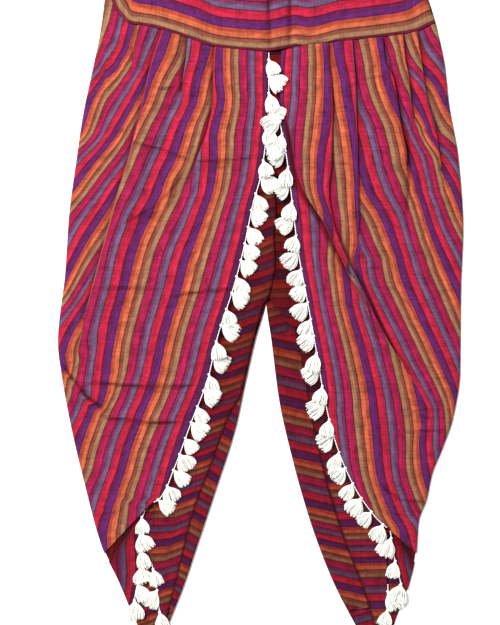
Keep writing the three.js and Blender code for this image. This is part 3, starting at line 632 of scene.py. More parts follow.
def petalRow(leg, petal, line, counts, marks):
    build, roll = petalBuild, outlineRoll["inset"][0]
    levels, places, nears, fars = marks
    edgeOut = float(smooth(leg["trimmedEdge"], "out", line["edge"]))
    outlineOut = float(smooth(leg["outline"], "out", line["outline"]))

    def downAt(out):
        share = (out - edgeOut) / (outlineOut - edgeOut)
        chord = mix(yokeSeamAt(leg, edgeOut), yokeSeamAt(leg, outlineOut), share)
        seam = yokeSeamAt(leg, out) - chord + 2 * seamGap
        return mix(line["edge"], line["outline"], share) + line["follow"] * seam

    def markAt(rows, k, down):
        return float(np.interp(down, levels, rows[k]))

    outs, lifts, bands, shades = [], [], [], []
    lastOut, lastBand = edgeOut, markAt(nears, 0, line["edge"])
    lastShade = lastLift = 0.0
    count = len(petal["pleats"])
    for k in range(count + 1):
        steps = (np.arange(counts[k]) + (k > 0)) / (counts[k] + (k > 0))
        if k < count:
            fold = petal["pleats"][k]
            start, end = fold["path"]["down"][0], fold["path"]["down"][-1]
            out = outlineOut / 2
            for _ in range(8):   # settles on where this line of cloth meets the folded edge
                out = markAt(places, k + 1, downAt(out))
            down = float(downAt(out))
            closing = mix(start, end, build["closeFrom"])
            opened, crest, ridge = 0.0, 0.0, fold["ridge"]
            if ridge:
                ends = build["crestEnds"]
                crest = float(fold["rise"] * ease((down - start - ends) / ends)
                              * ease((end - down) / ends))
            else:
                opened = float(ease((end - down) / (end - closing)))
            left = float(np.clip((end - down) / (end - start), 0, 1))
            depth = fold["depth"] * left ** build["closePower"]
            rise = fold["rise"] * opened
            near, far = markAt(nears, k + 1, down), markAt(fars, k + 1, down)
            before, after = markAt(places, k, down), markAt(places, k + 2, down)
            slopeIn = (near - markAt(fars, k, down)) / max(out - before, 8)
            slopeOut = (markAt(nears, k + 2, down) - far) / max(after - out, 8)
            room = after - out - (roll + 0.5 if k == count - 1 else 0)
            half = min(build["flatHalf"], (out - before) * 0.4, max(room, 0.5) * 0.4)
            until = out + mix(-half, -build["foldHalf"], opened)
            far += (mix(half, build["foldHalf"], opened)) * slopeOut
            near += (until - out) * slopeIn
            flatFrom = min(out - depth - 3, until)
        else:
            until = outlineOut - roll
            outlineBand = markAt(nears, k + 1, line["outline"])
            slopeOut = outlineBand - markAt(fars, k, line["outline"])
            slopeOut /= max(outlineOut - markAt(places, k, line["outline"]), 8)
            near = outlineBand - roll * slopeOut
            flatFrom, rise, opened, ridge = until, 0.0, 0.0, False
        here = mix(lastOut, until, steps)
        gone = here - lastOut
        outs.append(here)
        lifts.append(rise * ease(np.clip(gone / max(flatFrom - lastOut, 1.0), 0, 1))
                     + lastLift * ease(1 - gone / ridgeForm["fall"]))
        bands.append(mix(lastBand, near, steps))
        shades.append(lastShade * ease(1 - gone / build["besideFoldReach"]))
        # painted shade on the ridge's inner flank and on the cloth leading up to it
        if ridge:
            crestShade = float(smooth(fold["dark"], "dark", down)) * crest / fold["rise"]
            beside = ridgeForm["besideDark"] * crestShade
            shades[-1] = np.maximum(
                shades[-1], beside * ease(1 - (until - here) / ridgeForm["darkReach"]))
        if k < count:
            section = pleatSection
            folded = out - section["back"] * depth + section["shift"]
            flat = out + section["flat"] * half
            inFolds = np.linspace(0, 1, len(folded))
            outs.append(mix(flat, folded, opened))
            lifts.append(mix(rise * (1 - np.abs(section["flat"])), section["height"] * rise, opened)
                         + crest * ridgeSection["height"])
            unfolded = np.where(flat < out, near + (flat - until) * slopeIn,
                                far - (out + half - flat) * slopeOut)
            bands.append(mix(unfolded, mix(near, far, inFolds), opened))
            # painted shade on the cloth beside the folded edge, where the fold's shadow falls
            dark = float(smooth(fold["dark"], "dark", down)) * opened * build["besideFoldShade"]
            shades.append(crestShade * ridgeSection["dark"] if ridge else inFolds ** 2 * dark)
            lastOut, lastBand, lastShade = float(outs[-1][-1]), far, dark
            lastLift = crest * ridgeSection["height"][-1]
    out = np.concatenate(outs + [outlineOut - outlineRoll["inset"]])
    lift = np.concatenate(lifts + [-outlineRoll["drop"]])
    band = np.concatenate(bands + [outlineBand - outlineRoll["inset"] * slopeOut])
    shade = np.concatenate(shades + [0 * outlineRoll["inset"]])
    return out, downAt(out), lift, band, shade


def petalLines(petal):
    lines = petal["lines"]
    made = []
    for i in range(len(lines["edge"]) - 1):
        gap = max(lines[k][i + 1] - lines[k][i] for k in ("edge", "outline"))
        steps = int(np.ceil(gap / petalBuild["rowSpacing"]))
        made += [{k: mix(v[i], v[i + 1], j / steps) for k, v in lines.items()}
                 for j in range(steps)]
    return made + [{k: v[-1] for k, v in lines.items()}]


# How a petal's end folds under, and the tip below: each height at the trimmed edge and the outline.
tipForm = {
    "turns": (25, 50, 75, 105, 130, 155, 180), "bulge": 1.3, "underHeight": (5.4, 2.9),
    "tipHeight": (3.4, 1.8), "inset": 2.5, "insetUntil": 6, "rowsALine": 8, "drop": 0.4,
    "wave": 0.3,
    # dark: painted shade on the tip below the petal's folded end, going down from its first line
    "dark": table("down dark", "0 1, 12 0.8, 36 0.5, 140 0.45"),
}


def tipRows(petal, lastShare, lastZ):
    # Each row: line at the edge and at the outline, height, on the tip, painted shade ("dark"),
    # inset.
    form, tip, lines = tipForm, petal["tip"], petal["tip"]["lines"]
    ends = {k: v[-1] for k, v in petal["lines"].items()}
    towardSide = ease(lastShare * 1.1)
    below, lowest = (mix(*form[key], towardSide) for key in ("underHeight", "tipHeight"))
    rows = []
    for turn in form["turns"]:
        a = math.radians(turn)
        level = mix(lastZ, np.minimum(lastZ, below), (1 - math.cos(a)) / 2)
        out = form["bulge"] * math.sin(a)
        rows.append((ends["edge"] + out, ends["outline"] + out, level, False, turn / 360, 0))
    for back, level in ((0.35, below), (0.7, below), (1, mix(below, lowest, 0.4)), (1, lowest),
                        (0.5, lowest)):
        under = tip["under"] * back
        rows.append((ends["edge"] - under, ends["outline"] - under, level, True, 1, form["inset"]))
    first, count = lines["edge"][0], len(lines["edge"]) - 1
    for i in range(count):
        for j in range(form["rowsALine"] + (i == count - 1)):
            a, b = (mix(lines[k][i], lines[k][i + 1], j / form["rowsALine"])
                    for k in ("edge", "outline"))
            dark = float(smooth(form["dark"], "dark", a - first))
            inset = form["inset"] * (a - first < form["insetUntil"])
            rows.append((a, b, lowest, True, dark, inset))
    return rows


def makePetal(name, leg, petal):
    build, form, tip = petalBuild, tipForm, petal["tip"]
    marks = pleatMarks(leg, petal)
    counts = petalColumns(marks)
    rows = [petalRow(leg, petal, line, counts, marks) for line in petalLines(petal)]
    out, down, lift, band, shade = (np.array(part) for part in zip(*rows))
    edge, outline = out[:, :1], out[:, -1:] + outlineRoll["inset"][-1]
    share = (out - edge) / (outline - edge)
    x = leg["side"] * out
    folds, foldShade, shift = creased(petal["creases"], x, down)
    calm = ease(share / build["calmEdge"]) * ease((1 - share) / build["calmOutline"])
    uneven = build["ripple"] * ripple(x, down, build["rippleSeed"] + leg["side"])
    base = mix(smooth(leg["edgeHeight"], "z", down), build["outlineHeight"],
               ease(share / build["settledAt"]))
    z = base + lift + calm * (folds + uneven)
    z -= build["edgeRoll"] * ease(1 - share / build["edgeRollReach"])
    shade, band = np.maximum(shade, foldShade), band + shift

    # The end folds under itself, and the cloth goes on below as the tip.
    lastShare, parts = share[-1], []
    for edgeDown, outlineDown, level, onTip, dark, inset in tipRows(petal, lastShare, z[-1]):
        e, o, bandHere = edge[-1, 0], outline[-1, 0], band[-1]
        if onTip:
            e = float(smooth(tip["edge"], "out", edgeDown))
            o = float(smooth(leg["outline"], "out", outlineDown)) - inset
        here = mix(e, o, lastShare)
        if onTip:
            drop = np.interp(o - here, outlineRoll["inset"][::-1], outlineRoll["drop"][::-1])
            wave = form["wave"] * np.sin(here / 9 + edgeDown / 25)
            level = np.maximum(level - form["drop"] * drop + wave, build["lowest"])
            bandHere = tip["firstBand"] + (here - e) / tip["bandWidth"]
        parts.append((here, mix(edgeDown, outlineDown, lastShare), level, bandHere,
                      np.full_like(here, dark)))
    more = [np.array(part) for part in zip(*parts)]
    out, down, z, band, shade = (
        np.concatenate(pair) for pair in zip((out, down, z, band, shade), more))
    z = np.maximum(z, build["lowest"])
    return clothPiece(name, leg["side"] * out, down, z, band, down, shade, petalCotton)


# --- inner front panels ---

inners = {
    "left": {
        # Where the orange stripe crosses the panel's inner side, and its number.
        "repeat": table("down number",
            "347 -1, 423 0, 483 1, 551 2, 607 3, 666 4, 722 5, 775 6, 833 7, 896 8"),
        "slopeNear": 0.42, "slopeFar": 0.06,
        "shade": table("down dark",
            "169 0.99, 300 0.94, 420 0.86, 600 0.84, 700 0.75, 780 0.62, 940 0.6"),
        "creases": [
            crease(1.2, 13, "-60 560, -96 660, -128 760"),
            crease(-1, 11, "-40 600, -76 690, -108 790"),
            crease(1.1, 9, "-12 430, -30 500, -44 580"),
        ],
    },
    "right": {
        "repeat": table("down number", "560 -2, 636 -1, 697 0, 757 1, 817 2, 865 3, 928 4"),
        "slopeNear": -0.02, "slopeFar": -0.04,
        "shade": table("down dark",
            "169 0.99, 380 0.99, 480 0.97, 600 0.91, 700 0.79, 800 0.61, 960 0.53"),
        "creases": [
            crease(1.1, 12, "70 600, 96 700, 132 800"),
            crease(-1, 10, "98 740, 128 820, 150 900"),
        ],
    },
}
innerBuild = {
    "rowSpacing": 4, "columns": 36, "height": 3.4, "lapHeight": 6.2, "lowest": 2.9, "ripple": 0.25,
    "curlRadius": 1.3, "nearSeam": 22, "swell": 0.7, "petalShade": 0.3, "petalReach": 16,
    "seamShade": 0.35, "seamReach": 4,
    "lap": {"out": 24, "acrossFade": 28, "from": 290, "past": 30, "fade": 40},
}


def innerEdge(leg, down):  # the seam that the back panel comes round to
    front = smooth(leg["frontEdge"], "out", down)
    curl = smooth(leg["innerOutline"], "out", down) + 0.6 + innerBuild["curlRadius"] + 3 * seamGap
    return np.where(down < forkDown, front, np.maximum(front, curl))


def innerHeightAt(leg, out, down):
    build, lapped = innerBuild, 0.0
    if leg["side"] < 0:   # the left panel laps over the right one, above the fork
        lap = build["lap"]
        lapped = (ease((lap["out"] - out) / lap["acrossFade"])
                  * ease((forkDown + lap["past"] - down) / lap["fade"])
                  * ease((down - lap["from"]) / lap["fade"]))
    swell = build["swell"] + build["swell"] * np.sin(down / 41 + out / 17)
    settled = ease((forkDown + 400 - down) / 200)
    level = mix(build["height"], build["lapHeight"], lapped)
    return level + swell * settled * ease((out + 30) / 30) * (1 - lapped)


def repeatBand(number):  # the stripe number at a place between two orange stripes, going down
    return 5.1 - len(stripes) * number


def makeInner(name, leg, inner):
    build = innerBuild
    top = float(smooth(yokeSeam, "down", 0, "x")) + 2 * seamGap
    rows = int((leg["innerEnd"] - top) / build["rowSpacing"])
    down = np.linspace(top, leg["innerEnd"], rows)[:, None] + np.zeros(build["columns"])
    share = np.linspace(0, 1, build["columns"])[None, :] + np.zeros((rows, 1))
    edge = innerEdge(leg, down)
    out = mix(smooth(leg["ventEdge"], "out", down), edge, share)
    x = leg["side"] * out
    flat = np.where(down > forkDown, ease((out - edge) / 14), 1)
    folds, foldShade, _ = creased(inner["creases"], x, down)
    uneven = build["ripple"] * ripple(x, down, 4.1)
    z = mix(build["height"], innerHeightAt(leg, out, down), flat) + flat * (folds + uneven)
    z = np.maximum(z, build["lowest"])
    inFrom = np.maximum(out - edge, 0)
    near, beyond = np.minimum(inFrom, build["nearSeam"]), np.maximum(inFrom - build["nearSeam"], 0)
    seamDown = down - inner["slopeNear"] * near - inner["slopeFar"] * beyond
    band = repeatBand(straight(inner["repeat"], "number", seamDown))
    # Painted shade: darker going down by the shade table, in the petal's shadow along its trimmed
    # edge, and at the seam.
    fromPetal = smooth(leg["trimmedEdge"], "out", down) - out
    petalShadow = ease(1 - fromPetal / build["petalReach"]) * build["petalShade"] * (down < 800)
    seamShading = build["seamShade"] * ease(1 - inFrom / build["seamReach"])
    dark = smooth(inner["shade"], "dark", down) + petalShadow
    shade = np.clip(np.maximum(dark, foldShade) + seamShading, 0, 1)
    return clothPiece(name, x, down, z, band, out, shade, panelCotton)


# --- back panels, flat on the surface and curled round to the inseam ---

backs = {
    "left": {
        "repeat": table("down number",
            "420 -5, 506 -3.5, 560 -2.2, 620 -1.2, 691 0, 749 1, 803 2, 864 3, 921 4"),
        "slope": -0.5,
        "shade": table("down dark", "150 0.8, 560 0.78, 700 0.72, 977 0.62"),
        "creases": [
            crease(0.35, 12, "-60 260, -90 420, -110 560"),
            crease(0.3, 10, "-180 300, -200 520, -190 700"),
        ],
    },
    "right": {
        "repeat": table("down number",
            "300 -4, 400 -2, 455 -1, 512 0, 582 1, 663 2, 732 3, 798 4, 848 5, 909 6"),
        "slope": 0.25,
        "shade": table("down dark", "150 0.8, 480 0.88, 600 0.76, 700 0.68, 977 0.58"),
        "creases": [
            crease(0.35, 12, "70 280, 96 430, 120 590"),
            crease(0.3, 10, "170 300, 200 500, 196 690"),
        ],
    },
}
backBuild = {
    "top": 150.3, "rowSpacing": 4, "floorColumns": 30, "curlColumns": 9, "topColumns": 12,
    "height": 0.55, "curlRun": 45, "hemRoom": 8, "outlineInset": 1.2, "seatSeam": 8,
    "seamShade": 0.35, "seamReach": 3,
}


def makeBack(name, leg, back):
    build, radius = backBuild, innerBuild["curlRadius"]
    rows = int((garmentLength - build["top"]) / build["rowSpacing"])
    lastCurl = build["floorColumns"] + build["curlColumns"] - 1
    parts = []
    for level in np.linspace(build["top"], garmentLength, rows):
        outer = float(smooth(leg["outline"], "out", level)) - build["outlineInset"]
        turned = math.pi
        for room in (level - forkDown, garmentLength - build["hemRoom"] - level):
            turned = turned * float(np.clip(room / build["curlRun"], 0, 1))
        if level < forkDown:
            inner = leg["side"] * build["seatSeam"] + seamGap / 2
        else:
            inner = float(smooth(leg["innerOutline"], "out", level))
            inner += (0.6 + radius) * min(turned / math.pi, 1)
        out = list(np.linspace(outer, inner, build["floorColumns"]))
        z = [build["height"]] * len(out)
        for angle in np.linspace(0, turned, build["curlColumns"] + 1)[1:]:
            out.append(inner - radius * math.sin(angle) - 0.001 * len(out))
            z.append(build["height"] + (radius + 0.1) * (1 - math.cos(angle)))
        seam = float(innerEdge(leg, level)) - seamGap
        reach = max(seam - inner, 0) * (turned > math.pi - 0.01)
        for share in np.linspace(0, 1, build["topColumns"] + 1)[1:]:
            out.append(out[lastCurl] + share * reach + 0.001 * len(out))
            z.append(z[lastCurl])
        parts.append((np.array(out), np.full(len(out), level), np.array(z)))
    out, down, z = (np.array(part) for part in zip(*parts))
    x = leg["side"] * out
    folds = creased(back["creases"], x, down)[0]
    z = np.maximum(z + np.where(z < 0.6, folds, 0), clothThick / 2)
    walked = np.cumsum(np.abs(np.diff(out, axis=1, prepend=out[:, :1])), axis=1)
    fromSeam = walked[:, -1:] - walked
    seamDown = down + back["slope"] * np.minimum(fromSeam, 60)
    band = repeatBand(straight(back["repeat"], "number", seamDown))
    # Painted shade: darker going down by the shade table, and along the seam.
    fromSeam = np.abs(out - innerEdge(leg, down))
    seamShading = build["seamShade"] * ease(1 - fromSeam / build["seamReach"])
    shade = np.clip(smooth(back["shade"], "dark", down) + seamShading, 0, 1)
    return clothPiece(name, x, down, z, band, out, shade, panelCotton)


# --- yoke ---

yoke = {
    "casingDepth": 32, "waistLeft": -192, "waistRight": 202, "columns": 150, "rows": 34,
    "topHeight": 4.2, "seamHeight": 5.8, "ripple": 0.35, "firstBand": 3.36,
    "tuckTop": (11, 38), "tuckSeam": (15, 36), "tuckRise": 3.2, "seamShade": 0.3,
    "insets": [0.6, 0.62, 1.3, 2.2, 3.4, 5, 8], "sideHeights": [1.8, 2.3, 3.3, 4.0],
    "climb": 5.0,       # how far the stripes rise on the right of the tuck
    "backTop": 32.3, "backEnd": 150, "backColumns": 60, "backRows": 30, "backHeight": 0.55,
    "backShade": 0.3, "alongStart": 400,
    "backSides": table("down left right",
        "32.3 -192 202, 76 -209 218, 100 -211 228, 130 -214 237, 150 -218 241"),
}
yokeCreases = [
    crease(-1.6, 9, "7 28, 10 90, 13 176", shade=1, off=0, wide=5),
    crease(-1.4, 8, "42 28, 40 100, 38 176", shade=0.9, off=0),
    crease(1.1, 13, "-172 50, -168 90, -172 128"),
    crease(1.2, 12, "214 60, 219 100, 224 130"),
    crease(1, 18, "-120 60, -104 110, -96 148"),
    crease(-0.9, 14, "88 50, 96 100, 92 152"),
    crease(0.9, 15, "140 60, 150 110, 152 146"),
    crease(-0.8, 12, "-60 60, -54 110, -50 156"),
]


def makeYokeFront():
    build, inset = yoke, yoke["insets"][-1]
    insets, middle = np.array(build["insets"]), np.linspace(0, 1, build["columns"])

    def across(left, right):
        between = mix(left + inset, right - inset, middle)[1:-1]
        return np.concatenate([left + insets, between, (right - insets)[::-1]])

    top = across(build["waistLeft"], build["waistRight"])
    seam = across(yokeSeam["x"][0], yokeSeam["x"][-1])
    share = np.linspace(0, 1, build["rows"])[:, None]
    x = mix(top[None, :], seam[None, :], share)
    seamDown = smooth(yokeSeam, "down", seam, "x")[None, :]
    down = mix(build["casingDepth"] + seamGap, seamDown - 2 * seamGap, share) + 0 * x
    z = mix(build["topHeight"], build["seamHeight"], share) + 0 * x
    tuckLeft, tuckRight = (
        mix(a, b, share) for a, b in zip(build["tuckTop"], build["tuckSeam"]))
    z += build["tuckRise"] * ease((x - tuckLeft) / 3 + 0.5) * ease((tuckRight - x) / 3 + 0.5)
    folds, foldShade, _ = creased(yokeCreases, x, down)
    fromSide = np.minimum(x - x[:, :1], x[:, -1:] - x)
    calm = ease(fromSide / 12) * ease(share / 0.1) * ease((1 - share) / 0.08)
    z += calm * (folds + build["ripple"] * ripple(x, down, 2.2))
    for i, level in enumerate(build["sideHeights"]):
        for column in (i, -1 - i):
            z[:, column] = np.minimum(z[:, column], level)
    lean = np.cos(np.arctan(np.gradient(seamDown[0], seam)))[None, :]
    climb = build["climb"] * ease((x - 44) / 22) * (1 - ease((x - 70) / 40))
    band = build["firstBand"] + ((seamDown - down) * lean + climb) / bandPitch
    shade = foldShade + build["seamShade"] * ease(1 - (seamDown - down) / 1.5)
    return clothPiece("yokeFront", x, down, z, band, x + build["alongStart"],
                      np.clip(shade, 0, 1), yokeCotton)


def makeYokeBack():
    build, sides = yoke, yoke["backSides"]
    share = np.linspace(0, 1, build["backColumns"])[None, :]
    down = np.linspace(build["backTop"], build["backEnd"], build["backRows"])[:, None] + 0 * share
    x = mix(smooth(sides, "left", down), smooth(sides, "right", down), share)
    z = np.full_like(x, build["backHeight"]) + 0.15 * (1 + np.sin(x / 13 + down / 40))
    band = build["firstBand"] + (build["backEnd"] - down) / bandPitch
    return clothPiece("yokeBack", x, down, z, band, x + build["alongStart"],
                      0 * x + build["backShade"], yokeCotton)


# --- waistband: a gathered elastic casing ---

waist = {
    "gathers": 20, "rise": 1.1, "rows": 17, "columnsAGather": 12, "top": 0.4,
    "frontMiddle": 7.2, "backMiddle": 2.3, "elastic": 1.1,
    "sewn": (8, 16, 24), "sewnDepth": 0.8, "sewnShade": 0.3,
}


def makeWaist(name, middle, side):
    build, depth = waist, yoke["casingDepth"]
    share = np.linspace(0, 1, build["gathers"] * build["columnsAGather"] + 1)[None, :]
    down = np.linspace(build["top"], depth, build["rows"])[:, None]
    x = mix(yoke["waistLeft"], yoke["waistRight"], share) + 0 * down
    phase = share * build["gathers"] * 2 * math.pi + 0.8 * np.sin(share * 23)
    swing = build["rise"] * (0.9 + 0.25 * np.sin(share * 61))
    swing = swing * (0.75 + 0.25 * np.cos(2 * math.pi * down / 16))
    body = build["elastic"] * np.sin(math.pi * np.clip(down / depth, 0, 1)) ** 0.5
    z = np.maximum(middle + 0.8 * swing * np.sin(phase) + side * (body - 0.5), clothThick / 2)
    sewn = 0.5 * sum(np.exp(-(down - row) ** 2) for row in build["sewn"])
    z = np.maximum(z - side * build["sewnDepth"] * sewn, clothThick / 2)
    band = yoke["firstBand"] + (yoke["backEnd"] - down) / bandPitch + 0 * x
    shade = np.clip(0.25 - 0.3 * np.sin(phase), 0, 0.6) + build["sewnShade"] * sewn + 0 * x
    return clothPiece(name, x, down + 0 * x, z, band, x + yoke["alongStart"],
                      np.clip(shade, 0, 1), yokeCotton)


print("building cloth")
made = {
    "waistBack": makeWaist("waistBack", waist["backMiddle"], -1),
    "waistFront": makeWaist("waistFront", waist["frontMiddle"], 1),
    "yokeBack": makeYokeBack(),
    "yokeFront": makeYokeFront(),
}
for key, leg in legs.items():
    for start, maker, given in (("back", makeBack, backs), ("inner", makeInner, inners),
                                ("petal", makePetal, petals)):
        name = start + key.capitalize()
        made[name] = maker(name, leg, given[key])
    print("leg", key, "done")

# --- tassels and braid ---

yarnLook = {
    "light": (255, 255, 250), "dark": (236, 238, 222), "darkUntil": 0.32, "lightFrom": 0.6,
    "sheen": 0.3, "roughness": 0.82, "roughnessSwing": 0.1, "plyDepth": 0.0002, "plyStrength": 0.4,
}


def twoTone(tree, amount, dark, light, spots=(0, 1)):
    ramp = put(tree, "ShaderNodeValToRGB", [amount])
    for stop, tone, spot in zip(ramp.color_ramp.elements, (dark, light), spots):
        stop.color, stop.position = colour(*tone), spot
    return ramp.outputs[0]


def yarnMaterial(name):
    look = yarnLook
    material, tree, surface = newMaterial(name)
    place = put(tree, "ShaderNodeTexCoord").outputs["Object"]
    noise = put(tree, "ShaderNodeTexNoise", {
        "Vector": place, "Scale": 260.0, "Detail": 4.0, "Roughness": 0.7}).outputs["Fac"]
    ply = put(tree, "ShaderNodeTexWave", {
        "Vector": place, "Scale": 900.0, "Distortion": 6.0, "Detail": 1.0}).outputs["Fac"]
    bump = put(tree, "ShaderNodeBump", {
        "Strength": look["plyStrength"], "Distance": look["plyDepth"], "Height": ply})
    spots = look["darkUntil"], look["lightFrom"]
    feedAll(surface, {
        "Base Color": twoTone(tree, noise, look["dark"], look["light"], spots),
        "Normal": bump.outputs[0], "Sheen Weight": look["sheen"],
        "Roughness": add(multiply(noise, look["roughnessSwing"]), look["roughness"])})
    return material


tasselYarn = yarnMaterial("tasselYarn")

tassel = {
    "threads": 72, "threadRadius": 0.00048, "neck": 0.12, "bulge": 0.0024, "headRadius": 0.0017,
    "headLength": 0.0034, "seed": 5,
    "pitch": 22.4, "length": 25, "lengthSwing": 0.09, "halfWidth": 11.2, "halfSwing": 0.16,
    "aimSwing": 0.42, "clearance": 2.4, "offEdge": 1.25,
}
# How the threads of a tassel spread from its head, as shares of its length and half width.
threadShape = {
    "jitter": (-0.4, 1.4), "cut": (0.84, 1.05), "fullAt": 0.78, "openPower": 0.5,
    "sidesShorter": 0.12, "sway": 0.0007, "swayWaves": 5.0, "spread": 0.92, "atNeck": 0.08,
    "domeFloor": 0.05, "thickAtNeck": 0.35, "fallPower": 0.8, "points": 7, "corners": 3,
    "headCorners": 10,
}
braid = {"pitch": 0.0031, "beadLength": 0.0026, "beadRadius": 0.00085, "core": 0.0004}


def readAttribute(tree, name, kind="FLOAT"):
    node = put(tree, "GeometryNodeInputNamedAttribute", {"Name": name}, data_type=kind)
    return node.outputs["Attribute"]


def storeAttribute(tree, geometry, name, value, kind="FLOAT"):
    node = put(tree, "GeometryNodeStoreNamedAttribute", data_type=kind, domain="POINT")
    return feedAll(node, {"Geometry": geometry, "Name": name, "Value": value}).outputs[0]


def tubesAlong(tree, curve, radius, corners):
    ring = put(tree, "GeometryNodeCurvePrimitiveCircle", {"Radius": radius})
    ring.inputs["Resolution"].default_value = corners
    return put(tree, "GeometryNodeCurveToMesh", {
        "Curve": curve, "Profile Curve": ring.outputs[0], "Fill Caps": True}).outputs[0]


def finishTree(tree, result, material, parts):
    both = put(tree, "GeometryNodeJoinGeometry")
    for part in parts:
        feed(both.inputs[0], part)
    real = put(tree, "GeometryNodeRealizeInstances", [both.outputs[0]]).outputs[0]
    done = put(tree, "GeometryNodeSetMaterial", {0: real, "Material": material})
    feed(result[0], done.outputs[0])
    return tree


def tasselTree():
    tree, given, result = newGroup("tasselThreads", "GeometryNodeTree", [
        ("Geometry", "Geometry", None), ("Threads", "Int", 50), ("Thread Radius", "Float", 0.0004),
        ("Neck", "Float", 0.15), ("Bulge", "Float", 0.002), ("Head Radius", "Float", 0.0017),
        ("Head Length", "Float", 0.003), ("Seed", "Int", 1), ("Material", "Material", None)],
        [("Geometry", "Geometry")])
    roots = put(tree, "GeometryNodeMeshToPoints", {"Mesh": given["Geometry"]}).outputs[0]
    place = put(tree, "GeometryNodeInputPosition").outputs[0]
    kept = storeAttribute(tree, roots, "root", place, "FLOAT_VECTOR")
    copies = feedAll(put(tree, "GeometryNodeDuplicateElements", domain="POINT"), {
        "Geometry": kept, "Amount": given["Threads"]})

    def randomValue(low, high, seedStep):
        return put(tree, "FunctionNodeRandomValue", {
            2: low, 3: high, "Seed": add(given["Seed"], seedStep)}, data_type="FLOAT").outputs[1]

    form = threadShape
    jittered = add(copies.outputs["Duplicate Index"], randomValue(*form["jitter"], 0.0))
    spreadEven = subtract(multiply(divide(jittered, given["Threads"]), 2.0), 1.0)
    geometry = copies.outputs["Geometry"]
    for name, value in (("fan", spreadEven), ("ply", randomValue(-1.0, 1.0, 11.0)),
                        ("cut", randomValue(*form["cut"], 23.0)),
                        ("sway", randomValue(-1.0, 1.0, 37.0))):
        geometry = storeAttribute(tree, geometry, name, value)
    line = put(tree, "GeometryNodeCurvePrimitiveLine", {"Start": (0, 0, 0), "End": (0.001, 0, 0)})
    fine = put(tree, "GeometryNodeResampleCurve", {
        "Curve": line.outputs[0], "Count": form["points"]})
    spots = put(tree, "GeometryNodeInstanceOnPoints", {
        "Points": geometry, "Instance": fine.outputs[0]})
    real = put(tree, "GeometryNodeRealizeInstances", [spots.outputs[0]])
    p = put(tree, "GeometryNodeSplineParameter").outputs["Factor"]
    aim, half, reach, fall, fan, ply, cut, sway = (
        readAttribute(tree, name)
        for name in ("aim", "half", "reach", "fall", "fan", "ply", "cut", "sway"))
    opened = put(tree, "ShaderNodeMapRange", {
        "Value": p, 1: given["Neck"], 2: form["fullAt"], 3: 0.0, 4: 1.0},
        interpolation_type="SMOOTHSTEP")
    opened = maths("POWER", opened.outputs[0], form["openPower"])
    squared = multiply(fan, fan)
    shorter = subtract(1.0, multiply(squared, form["sidesShorter"]))
    forward = multiply(multiply(reach, p), multiply(cut, shorter))
    wobble = multiply(
        multiply(sway, form["sway"]), maths("SINE", multiply(p, form["swayWaves"])))
    widened = add(multiply(opened, form["spread"]), form["atNeck"])
    sideways = add(multiply(multiply(fan, half), widened), wobble)
    sine, cosine = maths("SINE", aim), maths("COSINE", aim)
    dx = add(multiply(forward, sine), multiply(sideways, cosine))
    dy = subtract(multiply(sideways, sine), multiply(forward, cosine))
    domed = maths("SQRT", maths("MAXIMUM", subtract(1.0, squared), form["domeFloor"]))
    thick = multiply(multiply(given["Bulge"], domed), add(opened, form["thickAtNeck"]))
    dz = add(multiply(fall, maths("POWER", p, form["fallPower"])), multiply(ply, thick))
    moved = vectorMaths("ADD", readAttribute(tree, "root", "FLOAT_VECTOR"),
                        put(tree, "ShaderNodeCombineXYZ", [dx, dy, dz]).outputs[0])
    shaped = put(tree, "GeometryNodeSetPosition", {"Geometry": real.outputs[0], "Position": moved})
    tubes = tubesAlong(tree, shaped.outputs[0], given["Thread Radius"], form["corners"])
    head = put(tree, "GeometryNodeMeshCylinder", {
        "Radius": given["Head Radius"], "Depth": given["Head Length"],
        "Vertices": form["headCorners"]})
    turn = put(tree, "ShaderNodeCombineXYZ", [math.pi / 2, 0.0, readAttribute(tree, "aim")])
    heads = put(tree, "GeometryNodeInstanceOnPoints", {
        "Points": roots, "Instance": head.outputs[0],
        "Rotation": put(tree, "FunctionNodeEulerToRotation", [turn.outputs[0]]).outputs[0]})
    return finishTree(tree, result, given["Material"], [heads.outputs[0], tubes])


def rowTree():  # beads or stitches along a line, over a thin core
    tree, given, result = newGroup("threadRow", "GeometryNodeTree", [
        ("Geometry", "Geometry", None), ("Pitch", "Float", 0.003), ("Bead Length", "Float", 0.002),
        ("Bead Radius", "Float", 0.0006), ("Core Radius", "Float", 0.0003),
        ("Material", "Material", None)], [("Geometry", "Geometry")])
    curve = put(tree, "GeometryNodeMeshToCurve", {"Mesh": given["Geometry"]}).outputs[0]
    spots = put(tree, "GeometryNodeCurveToPoints", {
        "Curve": curve, "Length": given["Pitch"]}, mode="LENGTH").outputs
    bead = put(tree, "GeometryNodeMeshUVSphere", {"Segments": 6, "Rings": 3, "Radius": 1.0})
    size = put(tree, "ShaderNodeCombineXYZ", [
        given["Bead Radius"], given["Bead Radius"], divide(given["Bead Length"], 2.0)])
    beads = put(tree, "GeometryNodeInstanceOnPoints", {
        "Points": spots["Points"], "Instance": bead.outputs[0], "Rotation": spots["Rotation"],
        "Scale": size.outputs[0]})
    fine = put(tree, "GeometryNodeResampleCurve", {"Curve": curve, "Length": 0.006}, mode="LENGTH")
    core = tubesAlong(tree, fine.outputs[0], given["Core Radius"], 4)
    return finishTree(tree, result, given["Material"], [beads.outputs[0], core])


tasselThreads, threadRow = tasselTree(), rowTree()


def runTree(made, tree, name, **values):
    modifier = made.modifiers.new(name, "NODES")
    modifier.node_group = tree
    sockets = {item.name.replace(" ", ""): item.identifier
               for item in tree.interface.items_tree if item.in_out == "INPUT"}
    for key, value in values.items():
        modifier[sockets[key]] = value
    return settle(made, made.name)


def joinMeshes(name, parts):
    for other in bpy.context.scene.objects:
        other.select_set(False)
    for part in parts:
        part.select_set(True)
    bpy.context.view_layer.objects.active = parts[0]
    bpy.ops.object.join()
    parts[0].name = parts[0].data.name = name
    parts[0].select_set(False)
    return parts[0]


